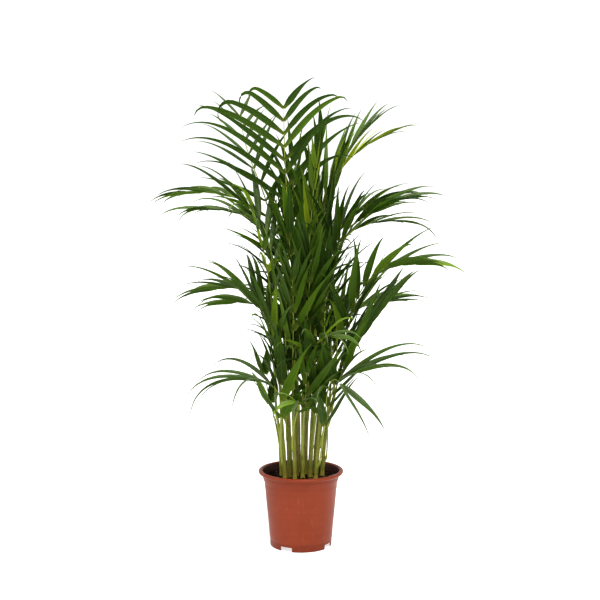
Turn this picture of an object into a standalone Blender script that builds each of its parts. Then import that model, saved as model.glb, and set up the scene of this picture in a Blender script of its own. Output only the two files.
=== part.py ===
"""Potted areca palm (Dypsis lutescens) in a thin-walled plastic nursery pot.

Metres, +Z up.  Origin: middle of the foot the pot stands on.
Pieces: the pot, the potting soil in it, thirteen stems (canes) and the leaves
(fronds).  Every leaf is one piece: its stalk, midrib and leaflets together.
"""
import bpy
import bmesh
from math import sin, cos, atan2, radians, pi, sqrt
from random import Random
from mathutils import Vector, Matrix, Quaternion
from mathutils.bvhtree import BVHTree

MM = 0.001
UP = Vector((0.0, 0.0, 1.0))

# ------------------------------------------------------ driving dimensions
GAP = 0.3 * MM              # clearance kept between neighbouring pieces

POT_STEPS = 40              # facets round the pot
POT_H = 140.3 * MM          # height of the pot
POT_WALL = 1.5 * MM         # moulded wall thickness
FOOT_R = 56.4 * MM          # outer radius at the foot
RIM_R = 77.8 * MM           # outer radius of the rolled rim
MOUTH_R = 71.2 * MM         # inner radius at the mouth
RIM_DEPTH = 8.3 * MM        # how far the curled rim reaches down
PLATE_Z = 10.0 * MM         # underside of the raised base plate
# outer wall below the rim: radius, height
WALL = [(57.4, 15.0), (59.8, 42.0), (64.0, 86.0), (66.6, 115.0), (69.0, 124.0)]
NOTCH_W = 23.0 * MM         # drainage notches in the foot
NOTCH_H = 8.2 * MM
NOTCH_AZ = (-118.5, -28.5, 61.5, 151.5)
HOLE_R = 4.5 * MM           # drainage holes in the base plate
HOLE_RING = 38.0 * MM
HOLES = 6

SOIL_Z = 128.5 * MM         # level soil in the middle
SOIL_EDGE_Z = 126.5 * MM    # where it meets the wall
SOIL_FLAT_R = 46.0 * MM
STEM_FOOT_Z = SOIL_Z + GAP

STALK_W = 3.4 * MM          # leaf stalk at its base, width and thickness
STALK_T = 3.0 * MM
BLADE_T = 0.8 * MM          # leaflet thickness


# ------------------------------------------------------ design of the palm
# Stems: foot x, foot y, top x, top y, top z, foot radius, top radius (mm).
STEMS = {
    "a": (-35, 3, -42, 5, 225, 3.6, 2.2),
    "b": (-29, -17, -36, -26, 255, 3.4, 2.1),
    "c": (-21, -8, -26, -11, 285, 3.8, 2.3),
    "d": (-19, 18, -25, 27, 285, 3.6, 2.2),
    "e": (-11, -25, -14, -36, 240, 3.3, 2.1),
    "f": (-8, 2, -10, 3, 310, 3.9, 2.3),
    "g": (-3, 28, -5, 41, 265, 3.5, 2.1),
    "h": (3, -15, 4, -20, 295, 3.7, 2.2),
    "i": (9, 13, 12, 19, 300, 3.7, 2.2),
    "j": (17, -7, 23, -9, 285, 3.8, 2.3),
    "k": (25, 24, 35, 35, 255, 3.4, 2.1),
    "l": (27, -23, 37, -34, 235, 3.4, 2.1),
    "m": (39, 4, 52, 6, 265, 3.7, 2.2),
}
LEAVES = []


def leaf(name, stem, at, tip, rise, pairs, length, width, az=None, blade=0.42,
         k0=0.42, k1=0.34, a0=58, a1=20, vee=26, droop=1.0, ins=30, short=0.6,
         skew=0.0, lean=0.0, tone=0.3, seed=1):
    """One leaf of the design: where it leaves its stem (mm), its tip (mm), how
    steeply it ends (deg), leaflet pairs, leaflet length and width (mm).  a0 and
    a1 are the leaflets' angles to the stalk at its foot and its tip (deg), vee
    lifts them above it, ins turns their blades, and lean and skew set the two
    sides apart."""
    LEAVES.append(dict(
        name=name, stem=stem, at=at, tip=tip, rise=rise, pairs=pairs, length=length,
        width=width, az=az, blade=blade, k0=k0, k1=k1, a0=a0, a1=a1, vee=vee,
        droop=droop, ins=ins, short=short, skew=skew, lean=lean, tone=tone, seed=seed))


# upper and left leaves
leaf("frond_crown_left", "f", 310, (-30, -35, 799), 92, 8, 215, 14, az=-100, blade=0.66, k0=0.5, k1=0.3, a0=46, a1=38, vee=10, droop=1.0, ins=12, short=0.6, skew=-0.1, lean=-7, tone=0.4, seed=1)
leaf("frond_high_left", "d", 285, (-114, 105, 790), 50, 10, 145, 9.5, az=102, blade=0.46, k0=0.85, k1=0.42, a0=50, a1=28, vee=12, droop=0.6, ins=5, short=0.35, tone=0.2, seed=2)
leaf("frond_arch_left", "b", 255, (-202, 25, 648), -4, 10, 185, 12.5, blade=0.44, k0=0.62, k1=0.45, a0=40, a1=20, vee=14, ins=34, short=0.5, tone=0.35, seed=3)
leaf("frond_small_left", "c", 225, (-80, -75, 625), 70, 5, 85, 12, az=200, blade=0.6, a0=60, a1=12, vee=20, droop=2.2, short=0.3, tone=0.7, seed=4)
leaf("frond_middle_left", "a", 225, (-148, 40, 472), -8, 9, 190, 14, blade=0.46, k0=0.55, k1=0.4, a0=46, a1=16, vee=18, droop=1.0, short=0.45, tone=0.35, seed=5)
leaf("frond_lower_left", "b", 200, (-106, -35, 455), 0, 7, 165, 15, blade=0.46, k0=0.5, k1=0.4, a0=42, a1=14, vee=14, droop=1.15, ins=45, short=0.4, tone=0.5, seed=6)
leaf("frond_low_left", "b", 160, (-74, -60, 318), 12, 4, 190, 10, az=180, blade=0.74, k0=0.5, k1=0.4, a0=44, a1=12, vee=6, droop=2.4, ins=45, short=0.05, tone=0.35, seed=7)
leaf("frond_bifid_left", "a", 175, (-66, 0, 324), 74, 2, 85, 28, az=260, blade=0.6, k0=0.4, k1=0.3, a0=14, a1=8, vee=10, droop=0.5, short=0.1, tone=0.3, seed=8)
# right leaves
leaf("frond_young_right", "m", 265, (140, -20, 745), 26, 9, 120, 7, blade=0.55, k0=0.45, k1=0.4, a0=24, a1=10, vee=14, droop=0.7, short=0.3, tone=1.0, seed=62)
leaf("frond_high_right", "i", 300, (108, 60, 752), 46, 10, 150, 10, blade=0.5, a0=36, a1=14, droop=0.5, short=0.3, tone=0.2, seed=10)
leaf("frond_arch_right", "k", 255, (165, 15, 634), 12, 10, 190, 13.5, k0=0.55, k1=0.4, a0=44, a1=18, vee=20, droop=1.0, short=0.42, tone=0.25, seed=11)
leaf("frond_dense_right", "m", 240, (125, -40, 612), 22, 9, 180, 13, k0=0.55, k1=0.4, a0=50, a1=18, vee=40, droop=0.9, ins=28, short=0.45, tone=0.2, seed=35)
leaf("frond_middle_right", "m", 215, (186, -95, 530), 4, 9, 190, 15, k0=0.55, k1=0.4, a0=34, a1=15, vee=6, droop=0.75, ins=50, short=0.42, tone=0.5, seed=12)
leaf("frond_lower_right", "k", 225, (152, 60, 445), 6, 8, 185, 13, k0=0.55, k1=0.4, a0=42, a1=14, vee=20, droop=0.8, ins=28, short=0.45, tone=0.3, seed=13)
leaf("frond_steep_right", "l", 200, (148, -20, 450), 50, 6, 155, 20, blade=0.5, a0=28, a1=8, vee=14, droop=0.4, ins=42, short=0.4, tone=0.2, seed=14)
leaf("frond_low_right", "m", 155, (92, -45, 325), 24, 5, 190, 11, az=-15, blade=0.74, k0=0.5, k1=0.35, a0=48, a1=10, vee=6, droop=1.4, ins=45, short=0.15, tone=0.4, seed=15)
# leaves that rise through the middle
leaf("frond_crown_centre", "j", 285, (35, -15, 735), 80, 7, 150, 15, blade=0.45, a0=20, a1=8, vee=20, droop=0.5, short=0.4, tone=0.3, seed=16)
leaf("frond_young_centre", "h", 295, (25, -55, 695), 82, 5, 100, 12, blade=0.6, a0=16, a1=7, vee=20, droop=0.5, short=0.4, tone=0.9, seed=17)
leaf("frond_high_centre", "c", 285, (-12, 20, 700), 84, 7, 150, 15, blade=0.45, a0=22, a1=9, vee=24, droop=0.6, short=0.4, tone=0.3, seed=18)
leaf("frond_crown_right", "i", 280, (65, 10, 685), 74, 7, 150, 15, blade=0.45, a0=24, a1=9, vee=24, droop=0.7, short=0.4, tone=0.2, seed=19)
# front leaves
leaf("frond_front_high_left", "e", 240, (-25, -100, 600), 72, 8, 160, 17, az=-120, a0=26, a1=9, vee=20, droop=0.8, short=0.4, tone=0.3, seed=20)
leaf("frond_front_middle_left", "e", 210, (-15, -135, 505), 54, 6, 150, 18, az=-95, a0=26, a1=10, vee=24, droop=0.9, short=0.4, tone=0.35, seed=21)
leaf("frond_front_high_right", "l", 235, (50, -105, 520), 64, 7, 160, 17, az=-65, a0=26, a1=9, vee=24, droop=0.8, short=0.4, tone=0.25, seed=22)
leaf("frond_front_arch", "h", 255, (15, -145, 550), 60, 7, 165, 18, az=-92, blade=0.42, a0=24, a1=9, vee=20, droop=0.8, short=0.4, tone=0.3, seed=23)
leaf("frond_front_middle_right", "j", 215, (50, -120, 405), 8, 5, 120, 14, az=-50, blade=0.55, a0=44, a1=14, vee=20, droop=1.6, short=0.3, tone=0.6, seed=24)
leaf("frond_front_low", "e", 180, (-5, -90, 285), 0, 3, 85, 13, az=-120, blade=0.65, a0=40, a1=16, vee=14, droop=2.0, short=0.2, tone=0.5, seed=25)
leaf("frond_front_steep_left", "c", 195, (-25, -60, 360), 74, 5, 135, 20, az=-120, blade=0.5, a0=26, a1=16, vee=20, droop=0.6, short=0.3, tone=0.3, seed=53)
leaf("frond_front_steep_right", "j", 180, (40, -55, 320), 68, 4, 130, 20, az=-60, blade=0.5, a0=24, a1=10, vee=20, droop=0.7, short=0.3, tone=0.3, seed=37)
# back leaves
leaf("frond_back_high_left", "g", 265, (-45, 136, 568), 26, 9, 180, 13, az=112, a0=52, a1=15, vee=24, short=0.5, tone=0.3, seed=26)
leaf("frond_back_high_right", "k", 235, (60, 136, 543), 18, 9, 175, 13, az=72, a0=52, a1=15, vee=24, short=0.5, tone=0.35, seed=27)
leaf("frond_back_arch", "g", 235, (-10, 150, 430), -6, 8, 160, 13, az=95, a0=50, a1=15, vee=20, droop=1.1, short=0.5, tone=0.45, seed=28)
leaf("frond_back_left", "d", 240, (-65, 120, 460), -4, 7, 150, 13, az=135, a0=50, a1=15, vee=20, short=0.5, tone=0.35, seed=29)
leaf("frond_back_low_left", "d", 205, (-35, 95, 375), 60, 5, 150, 18, az=120, blade=0.5, a0=30, a1=12, vee=18, droop=0.8, short=0.3, tone=0.3, seed=30)
leaf("frond_back_low_right", "k", 200, (60, 95, 370), 60, 5, 150, 20, az=60, blade=0.5, a0=30, a1=12, vee=18, droop=0.8, short=0.3, tone=0.3, seed=31)
leaf("frond_back_right", "i", 250, (45, 90, 610), 50, 8, 150, 14, az=60, blade=0.46, a0=46, a1=12, droop=0.9, short=0.5, tone=0.25, seed=33)
leaf("frond_back_centre", "f", 280, (-20, 60, 650), 66, 8, 150, 14, az=110, blade=0.5, a0=42, a1=10, droop=0.9, short=0.5, tone=0.25, seed=34)
# leaves that fill the left side and the foot of the clump
leaf("frond_hanging_left", "d", 250, (-160, -70, 622), 4, 9, 170, 13, az=200, blade=0.46, k0=0.62, k1=0.4, a0=48, a1=16, vee=14, droop=1.35, ins=26, short=0.45, tone=0.3, seed=38)
leaf("frond_front_lower_left", "b", 150, (-40, -70, 345), 74, 4, 135, 22, az=-130, blade=0.5, a0=24, a1=9, vee=18, droop=0.6, short=0.3, tone=0.25, seed=39)
leaf("frond_front_lower_centre", "h", 165, (10, -85, 360), 72, 5, 135, 20, az=-95, blade=0.5, a0=24, a1=9, vee=18, droop=0.6, short=0.3, tone=0.25, seed=40)
leaf("frond_front_lower_right", "l", 185, (70, -60, 350), 70, 5, 135, 21, az=-50, blade=0.5, a0=24, a1=9, vee=18, droop=0.6, short=0.3, tone=0.25, seed=63)
leaf("frond_hanging_right", "j", 250, (155, -75, 600), 4, 8, 185, 11, k0=0.6, k1=0.4, a0=44, a1=16, vee=12, droop=1.2, ins=26, short=0.4, tone=0.3, seed=44)
leaf("frond_back_inner_left", "f", 230, (-20, 55, 410), 74, 6, 140, 16, az=120, blade=0.45, a0=24, a1=9, vee=20, droop=0.7, short=0.3, tone=0.2, seed=43)
leaf("frond_back_inner_right", "i", 225, (35, 60, 400), 74, 6, 140, 16, az=60, blade=0.45, a0=24, a1=14, vee=20, droop=0.7, short=0.3, tone=0.2, seed=45)
leaf("frond_drooping_right", "l", 150, (75, -90, 314), -40, 2, 130, 20, az=-35, blade=0.4, k0=0.7, k1=0.3, a0=24, a1=17, vee=0, droop=0.7, ins=20, short=0.1, tone=0.4, seed=46)


# ---------------------------------------------------------------- growth
# The stems and leaves follow one rule each: a stem is a leaning, slightly
# bowed tapering tube; a leaf is a stalk that leaves its stem, rises along it
# and arches over to a tip, with paired leaflets along its outer part.  Each
# leaflet leaves at its own angle, rises a little and droops under its weight.
# Leaflets are then turned or shortened until none touches anything else.


def mix(a, b, t):
    return a + (b - a) * t


def stem_point(key, z):
    """Centre and radius of a stem at height z."""
    fx, fy, tx, ty, tz, r0, r1 = STEMS[key]
    t = (z - STEM_FOOT_Z) / (tz * MM - STEM_FOOT_Z)
    bow = 0.12 * sin(pi * min(max(t, 0.0), 1.0))
    x = mix(fx, tx, t) - (tx - fx) * bow
    y = mix(fy, ty, t) - (ty - fy) * bow
    return Vector((x * MM, y * MM, z)), mix(r0, r1, t) * MM


def stem_path(key, count):
    top = STEMS[key][4] * MM
    return [stem_point(key, mix(STEM_FOOT_Z, top, k / (count - 1))) for k in range(count)]


class Rachis:
    """The stalk and midrib of one leaf, with its frame along the way."""

    def __init__(self, f, shift, spin):
        self.f = f
        tip = Vector(f["tip"]) * MM
        top = STEMS[f["stem"]][4] * MM
        z = min(f["at"] * MM, top)
        axis, r = stem_point(f["stem"], z)
        a, _ = stem_point(f["stem"], z - 4 * MM)
        b, _ = stem_point(f["stem"], z + 4 * MM)
        along = (b - a).normalized()
        reach = tip - axis
        az = atan2(reach.y, reach.x) if f["az"] is None else radians(f["az"])
        self.out = Vector((cos(az), sin(az), 0.0))
        if z >= top - 0.5 * MM:
            base = axis + along * (GAP + 0.5 * MM)
            d0 = along
        else:
            way = Vector((cos(az + spin), sin(az + spin), 0.0))
            base = axis + way * (r + GAP + STALK_T * 0.5 + 0.25 * MM)
            d0 = (along + way * 0.10).normalized()
        el = radians(f["rise"])
        d3 = (self.out * cos(el) + UP * sin(el)).normalized()
        chord = (tip - base).length
        c = (base, base + d0 * chord * f["k0"] + shift * 0.5,
             tip - d3 * chord * f["k1"] + shift, tip + shift * 0.6)
        pts = []
        for k in range(61):
            t = k / 60.0
            u = 1 - t
            pts.append(c[0] * (u * u * u) + c[1] * (3 * u * u * t) + c[2] * (3 * u * t * t) + c[3] * (t * t * t))
        cum = [0.0]
        for p, q in zip(pts, pts[1:]):
            cum.append(cum[-1] + (q - p).length)
        self.pts, self.cum, self.length = pts, cum, cum[-1]

    def at(self, s):
        """Point, direction, side and upper-face normal at fraction s."""
        d = max(0.0, min(1.0, s)) * self.length
        i = 0
        while i < 59 and self.cum[i + 1] < d:
            i += 1
        p = self.pts[i].lerp(self.pts[i + 1], (d - self.cum[i]) / (self.cum[i + 1] - self.cum[i]))
        t = (self.pts[min(60, i + 2)] - self.pts[max(0, i - 1)]).normalized()
        side = UP.cross(self.out)
        nrm = t.cross(side).normalized()
        side = nrm.cross(t).normalized()
        return p, t, side, nrm

    def half(self, s):
        """Half width and half thickness of the stalk at s."""
        k = mix(1.0, 0.42, max(0.0, (s - 0.15) / 0.85))
        return STALK_W * 0.5 * k, STALK_T * 0.5 * k

    def foot(self):
        """Half the length along the midrib that a leaflet is joined over."""
        f = self.f
        return min(f["width"] * MM * 0.22, self.length * (1 - f["blade"]) / f["pairs"] * 0.32)

    def place(self, i):
        f = self.f
        last = 1.0 - self.foot() / self.length
        return mix(f["blade"], last, (i / max(1, f["pairs"] - 1)) ** 0.95)


def leaflet_habits(f):
    """The natural spread of a leaf's leaflets, the same every time."""
    rnd = Random(f["seed"] * 7919 + 13)
    out = []
    for i in range(f["pairs"]):
        u = i / max(1, f["pairs"] - 1)
        for side in (1, -1):
            prof = 1.0 - f["short"] * max(0.0, (u - 0.25) / 0.75) ** 1.25 - 0.9 * max(0.0, 0.22 - u)
            prof *= 1.0 + f["skew"] * side
            out.append(dict(
                i=i, u=u, side=side,
                alpha=radians(mix(f["a0"], f["a1"], u ** 0.85) + f["lean"] * side + rnd.uniform(-5, 5)),
                beta=radians(f["vee"] * mix(1.0, 0.55, u) + rnd.uniform(-7, 7)),
                length=f["length"] * MM * prof * rnd.uniform(0.9, 1.07),
                width=f["width"] * MM * mix(1.0, 0.8, abs(u - 0.4) * 1.6) * rnd.uniform(0.9, 1.1),
                droop=f["droop"] * rnd.uniform(0.7, 1.35),
                hook=rnd.uniform(0.2, 1.0),
                twist=radians(rnd.uniform(-26, 26)),
                sway=radians(rnd.uniform(-7, 7)),
                shade=rnd.random(), wave=rnd.uniform(-1, 1)))
    return out


class Leaflet:
    STEPS = 14

    def __init__(self, rac, habit, turn, tilt, more, scale):
        f = rac.f
        self.habit, self.rac = habit, rac
        self.s = rac.place(habit["i"])
        p, T, S, N = rac.at(self.s)
        hw, ht = rac.half(self.s)
        self.T, self.N = T, N
        al, be = habit["alpha"] + turn, habit["beta"] + tilt
        side = S * habit["side"]
        d = (T * cos(al) + (side * cos(be) + N * sin(be)) * sin(al)).normalized()
        w = (T - d * T.dot(d)).normalized()
        w = Quaternion(d, radians(f["ins"]) * habit["side"]) @ w
        self.length = habit["length"] * scale
        self.width = habit["width"] * (0.5 + 0.5 * scale)
        self.thick0 = ht * 2
        pos = p + side * hw
        n = self.STEPS
        pts, dirs, wid = [pos.copy()], [d.copy()], [w.copy()]
        for j in range(n):
            s = (j + 0.5) / n
            flat = sqrt(d.x * d.x + d.y * d.y)
            axis = d.cross(-UP)
            if axis.length > 1e-4:
                ang = (habit["droop"] + more) * (0.22 + 0.9 * flat) * (0.28 + 1.5 * s * s + 1.6 * habit["hook"] * s ** 5) / n
                ang = min(ang, max(0.0, radians(78) - atan2(-d.z, max(flat, 1e-5))))
                q = Quaternion(axis.normalized(), ang)
                d = (q @ d).normalized()
                w = q @ w
            d = (Quaternion(w.cross(d).normalized(), habit["sway"] / n * (1 + s)) @ d).normalized()
            w = Quaternion(d, habit["twist"] / n * 2 * s) @ w
            w = (w - d * w.dot(d)).normalized()
            pos = pos + d * (self.length / n)
            pts.append(pos.copy())
            dirs.append(d.copy())
            wid.append(w.copy())
        self.pts, self.dirs, self.wid = pts, dirs, wid

    def breadth(self, s):
        rise = 0.45 + 0.55 * min(1.0, s / 0.24) ** 0.8
        return self.width * rise * max(0.0, 1 - s) * (1 + 1.15 * s)

    def face(self, j):
        """Upper-face normal at step j."""
        return self.wid[j].cross(self.dirs[j]).normalized() * self.habit["side"]

    def stations(self):
        """Rough sections: centre, half-width vector, normal, thickness."""
        mid = 6
        half = self.breadth(mid / self.STEPS) * 0.5
        return [(self.pts[0], self.T * self.rac.foot(), self.N, self.thick0),
                (self.pts[mid], self.wid[mid] * half, self.face(mid), BLADE_T),
                (self.pts[-1], Vector((0, 0, 0)), self.face(-1), BLADE_T)]


class Body:
    """A closed faceted solid with a search tree, to keep pieces apart.  The
    tree is in millimetres, because its triangle test loses precision on
    coordinates of a few thousandths."""

    def __init__(self, V, F, tag):
        self.tree = BVHTree.FromPolygons([v / MM for v in V], F, all_triangles=True)
        self.lo = [min(v[i] for v in V) for i in range(3)]
        self.hi = [max(v[i] for v in V) for i in range(3)]
        self.tag = tag

    def meets(self, o):
        for i in range(3):
            if self.lo[i] > o.hi[i] or o.lo[i] > self.hi[i]:
                return False
        return bool(self.tree.overlap(o.tree))


def loft(sections):
    """Closed solid through four-cornered sections; the last may be an edge."""
    V, F = [], []
    for sec in sections:
        V += sec
    a = 0
    for k in range(len(sections) - 1):
        b = a + 4
        if len(sections[k + 1]) == 2:
            F += [(a, a + 1, b), (a + 3, b + 1, a + 2), (a + 1, a + 2, b + 1),
                  (a + 1, b + 1, b), (a, b, b + 1), (a, b + 1, a + 3)]
        else:
            F += [(a, a + 1, b + 1), (a, b + 1, b), (a + 1, a + 2, b + 2), (a + 1, b + 2, b + 1),
                  (a + 3, b + 2, a + 2), (a + 3, b + 3, b + 2), (a + 3, a, b), (a + 3, b, b + 3)]
            a = b
    F += [(0, 2, 1), (0, 3, 2)]
    if len(sections[-1]) == 4:
        F += [(a, a + 1, a + 2), (a, a + 2, a + 3)]
    return V, F


def leaflet_body(lf, grow, tag, start=0.0):
    """The leaflet as a solid, from a fraction of the way to its middle."""
    st = lf.stations()
    if start:
        a, b = st[0], st[1]
        st[0] = (a[0].lerp(b[0], start), a[1].lerp(b[1], start),
                 a[2].lerp(b[2], start).normalized(), mix(a[3], b[3], start))
    secs = []
    for p, w, n, th in st:
        t = n * (th * 0.5 + grow)
        if w.length < 1e-9:
            secs.append([p + t, p - t])
        else:
            h = w + w.normalized() * grow
            secs.append([p + h + t, p - h + t, p - h - t, p + h - t])
    return Body(*loft(secs), tag)


def stalk_body(rac, grow, tag):
    secs = []
    for k in range(26):
        p, T, S, N = rac.at(k / 25)
        hw, ht = rac.half(k / 25)
        h, t = S * (hw + grow), N * (ht + grow)
        secs.append([p + h + t, p - h + t, p - h - t, p + h - t])
    return Body(*loft(secs), tag)


def stem_body(key, tag):
    V, F = [], []
    path = stem_path(key, 5)
    n, sides = len(path), 10
    for k, (p, r) in enumerate(path):
        t = (path[min(k + 1, n - 1)][0] - path[max(k - 1, 0)][0]).normalized()
        x = t.cross(Vector((0, 1, 0.01))).normalized()
        y = t.cross(x)
        for q in range(sides):
            a = 2 * pi * q / sides
            V.append(p + (x * cos(a) + y * sin(a)) * (r * 1.03))
    for k in range(n - 1):
        for q in range(sides):
            a, b = k * sides + q, k * sides + (q + 1) % sides
            F += [(a, b, b + sides), (a, b + sides, a + sides)]
    m = (n - 1) * sides
    for q in range(1, sides - 1):
        F += [(0, q + 1, q), (m, m + q, m + q + 1)]
    return Body(V, F, tag)


def grow_palm():
    """Every leaf with the leaflets it has room for: [(rachis, leaflets)]."""
    placed = [stem_body(key, ("stem", key)) for key in STEMS]
    shifts = [Vector((0, 0, 0))]
    for r in (5, 9, 14, 20, 27):
        for k in range(6):
            a = 2 * pi * k / 6 + r
            shifts.append(Vector((cos(a) * r, sin(a) * r, 0)) * MM)
    stalks = []
    for f in LEAVES:
        own = [b for b in placed if b.tag == ("stem", f["stem"])][0]
        found = None
        for spin in (0.0, 0.5, -0.5, 1.0, -1.0):
            for shift in shifts:
                rac = Rachis(f, shift, spin)
                wide = stalk_body(rac, 0.55 * MM, ("leaf", f["name"]))
                if any(wide.meets(b) for b in placed if b is not own):
                    continue
                if not stalk_body(rac, 0.12 * MM, None).meets(own):
                    found = rac
                    break
            if found:
                break
        if found:
            stalks.append(found)
            placed.append(stalk_body(found, 0.0, ("stalk", f["name"])))
        else:
            print("no room for the stalk of", f["name"])
    tries = [(0.0, 0.0, 0.0)]
    for m in (0.12, 0.24, 0.36, 0.5):
        for a, b, c in ((0, 1, 0), (0, -1, 0), (1, 0, 0), (-1, 0, 0), (1, 1, 0),
                        (-1, 1, 0), (1, -1, 0), (-1, -1, 0), (0, 0, 1), (0, 0, -1)):
            tries.append((a * m * 0.6, b * m, c * m * 1.3))
    palm = []
    lost = 0
    for rac in stalks:
        mine = []
        own = stalk_body(rac, 0.0, None)
        for habit in leaflet_habits(rac.f):
            found = None
            for scale in (1.0, 0.85, 0.7, 0.52):
                for turn, tilt, more in tries:
                    lf = Leaflet(rac, habit, turn, tilt, more, scale)
                    wide = leaflet_body(lf, 0.45 * MM, None)
                    if leaflet_body(lf, 0.3 * MM, None, 0.2).meets(own):
                        continue
                    if not any(wide.meets(b) for b in placed if b.tag != ("stalk", rac.f["name"])):
                        found = lf
                        break
                if found:
                    break
            if found:
                mine.append(found)
                placed.append(leaflet_body(found, 0.0, ("leaflet", rac.f["name"])))
            else:
                lost += 1
        palm.append((rac, mine))
    print("leaves", len(palm), "leaflets", sum(len(m) for _, m in palm), "no room", lost)
    return palm


# ---------------------------------------------------------------- helpers
def clear_scene():
    for ob in list(bpy.data.objects):
        bpy.data.objects.remove(ob, do_unlink=True)


def new_collection(name):
    col = bpy.data.collections.new(name)
    bpy.context.scene.collection.children.link(col)
    return col


def principled(name, colour, roughness):
    m = bpy.data.materials.new(name)
    m.use_nodes = True
    b = m.node_tree.nodes["Principled BSDF"]
    b.inputs["Base Color"].default_value = (*colour, 1.0)
    b.inputs["Roughness"].default_value = roughness
    b.inputs["Metallic"].default_value = 0.0
    m.diffuse_color = (*colour, 1.0)
    return m


def add(name, data, col, mat, at=None, parent=None):
    """Object with its origin at the world point `at`."""
    ob = bpy.data.objects.new(name, data)
    col.objects.link(ob)
    data.materials.append(mat)
    ob.location = at or Vector((0.0, 0.0, 0.0))
    if parent is not None:
        ob.parent = parent
        ob.location -= world_point(parent)
    return ob


def world_point(ob):
    p = ob.location.copy()
    while ob.parent is not None:
        ob = ob.parent
        p += ob.location
    return p


def turned(name, profile, col, mat, parent=None):
    """Solid of revolution about Z from a profile of (radius, height)."""
    me = bpy.data.meshes.new(name)
    bm = bmesh.new()
    vs = [bm.verts.new((r, 0.0, z)) for r, z in profile]
    for a, b in zip(vs, vs[1:]):
        bm.edges.new((a, b))
    bm.to_mesh(me)
    bm.free()
    ob = add(name, me, col, mat, parent=parent)
    mod = ob.modifiers.new("Turn", "SCREW")
    mod.axis = "Z"
    mod.angle = 2 * pi
    mod.steps = POT_STEPS
    mod.render_steps = POT_STEPS
    mod.use_merge_vertices = True
    mod.merge_threshold = 0.00002
    mod.use_smooth_shade = True
    return ob


# -------------------------------------------------------------------- pot
def inner_wall():
    """Inside of the pot below the rim, bottom to top."""
    pts = [((FOOT_R - POT_WALL) + 0.9 * MM, PLATE_Z + 1.6 * MM)]
    pts += [(r * MM - POT_WALL, z * MM) for r, z in WALL[1:]]
    return pts


def pot_profile():
    top = POT_H
    pts = [(0.0, PLATE_Z + 1.6 * MM)]
    pts += inner_wall()
    pts += [(MOUTH_R - 0.6 * MM, top - 2.0 * MM), (MOUTH_R + 0.4 * MM, top)]
    # the wall curls out and under, and ends clear of itself
    low = top - RIM_DEPTH
    pts += [(RIM_R - 1.4 * MM, top), (RIM_R, top - 2.4 * MM), (RIM_R - 0.7 * MM, top - 4.9 * MM)]
    pts += [(RIM_R - 3.4 * MM, low + 1.1 * MM), (RIM_R - 4.9 * MM, low)]
    pts += [(RIM_R - 5.5 * MM, low + 1.3 * MM), (RIM_R - 4.2 * MM, low + 2.4 * MM)]
    pts += [(RIM_R - 2.0 * MM, top - 4.0 * MM), (RIM_R - 1.6 * MM, top - 2.7 * MM)]
    pts += [(RIM_R - 2.3 * MM, top - 1.6 * MM), (MOUTH_R + 1.8 * MM, top - 1.6 * MM)]
    pts += [(MOUTH_R + 1.1 * MM, top - 2.6 * MM)]
    pts += [(r * MM, z * MM) for r, z in reversed(WALL)]
    pts += [(FOOT_R, 0.0), (FOOT_R - POT_WALL, 0.0)]
    pts += [(FOOT_R - POT_WALL + 0.8 * MM, PLATE_Z), (0.0, PLATE_Z)]
    return pts


def pot_cutter(cutters):
    """Notches through the foot wall and holes through the base plate."""
    bm = bmesh.new()
    for az in NOTCH_AZ:
        turn = Matrix.Rotation(radians(az), 4, "Z")
        lift = Matrix.Translation((FOOT_R, 0.0, NOTCH_H * 0.5 - 1.0 * MM))
        size = Matrix.Diagonal((12 * MM, NOTCH_W, NOTCH_H + 2.0 * MM, 1.0))
        bmesh.ops.create_cube(bm, size=1.0, matrix=turn @ lift @ size)
    for k in range(HOLES):
        a = 2 * pi * (k + 0.25) / HOLES
        at = Matrix.Translation((HOLE_RING * cos(a), HOLE_RING * sin(a), PLATE_Z + 0.8 * MM))
        bmesh.ops.create_cone(bm, cap_ends=True, segments=12, radius1=HOLE_R,
                              radius2=HOLE_R, depth=6 * MM, matrix=at)
    me = bpy.data.meshes.new("pot_cutter")
    bm.to_mesh(me)
    bm.free()
    ob = bpy.data.objects.new("pot_cutter", me)
    cutters.objects.link(ob)
    ob.hide_render = True
    ob.display_type = "WIRE"
    return ob


def build_pot(col, cutters):
    pot = turned("pot", pot_profile(), col, principled("pot", (0.34, 0.075, 0.035), 0.5))
    cut = pot.modifiers.new("Notches", "BOOLEAN")
    cut.operation = "DIFFERENCE"
    cut.object = pot_cutter(cutters)
    return pot


def build_soil(col, pot):
    gap = GAP + 0.05 * MM
    wall = [(r - gap, z) for r, z in inner_wall()]
    wall[0] = (wall[0][0], wall[0][1] + gap)
    r1, z1 = wall[-1]
    lean = (MOUTH_R - 0.6 * MM - gap - r1) / (POT_H - 2.0 * MM - z1)
    pts = [(0.0, SOIL_Z), (SOIL_FLAT_R, SOIL_Z), (r1 + lean * (SOIL_EDGE_Z - z1), SOIL_EDGE_Z)]
    pts += list(reversed(wall)) + [(0.0, wall[0][1])]
    return turned("potting_soil", pts, col, principled("potting_soil", (0.022, 0.013, 0.008), 0.95), pot)


# ------------------------------------------------------------------ stems
def build_stem(key, col, parent):
    """Leaning stem: a tapering tube on a polyline, foot on the soil."""
    path = stem_path(key, 5)
    foot, r0 = path[0]
    cu = bpy.data.curves.new("cane_" + key, "CURVE")
    cu.dimensions = "3D"
    cu.bevel_depth = r0
    cu.bevel_resolution = 2
    cu.use_fill_caps = True
    sp = cu.splines.new("POLY")
    sp.points.add(len(path) - 1)
    for pt, (p, r) in zip(sp.points, path):
        pt.co = (*(p - foot), 1.0)
        pt.radius = r / r0
    tint = 0.8 + 0.3 * Random(ord(key)).random()
    mat = principled("cane_" + key, (0.25 * tint, 0.27 * tint, 0.05), 0.45)
    return add("cane_" + key, cu, col, mat, foot, parent)


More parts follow.
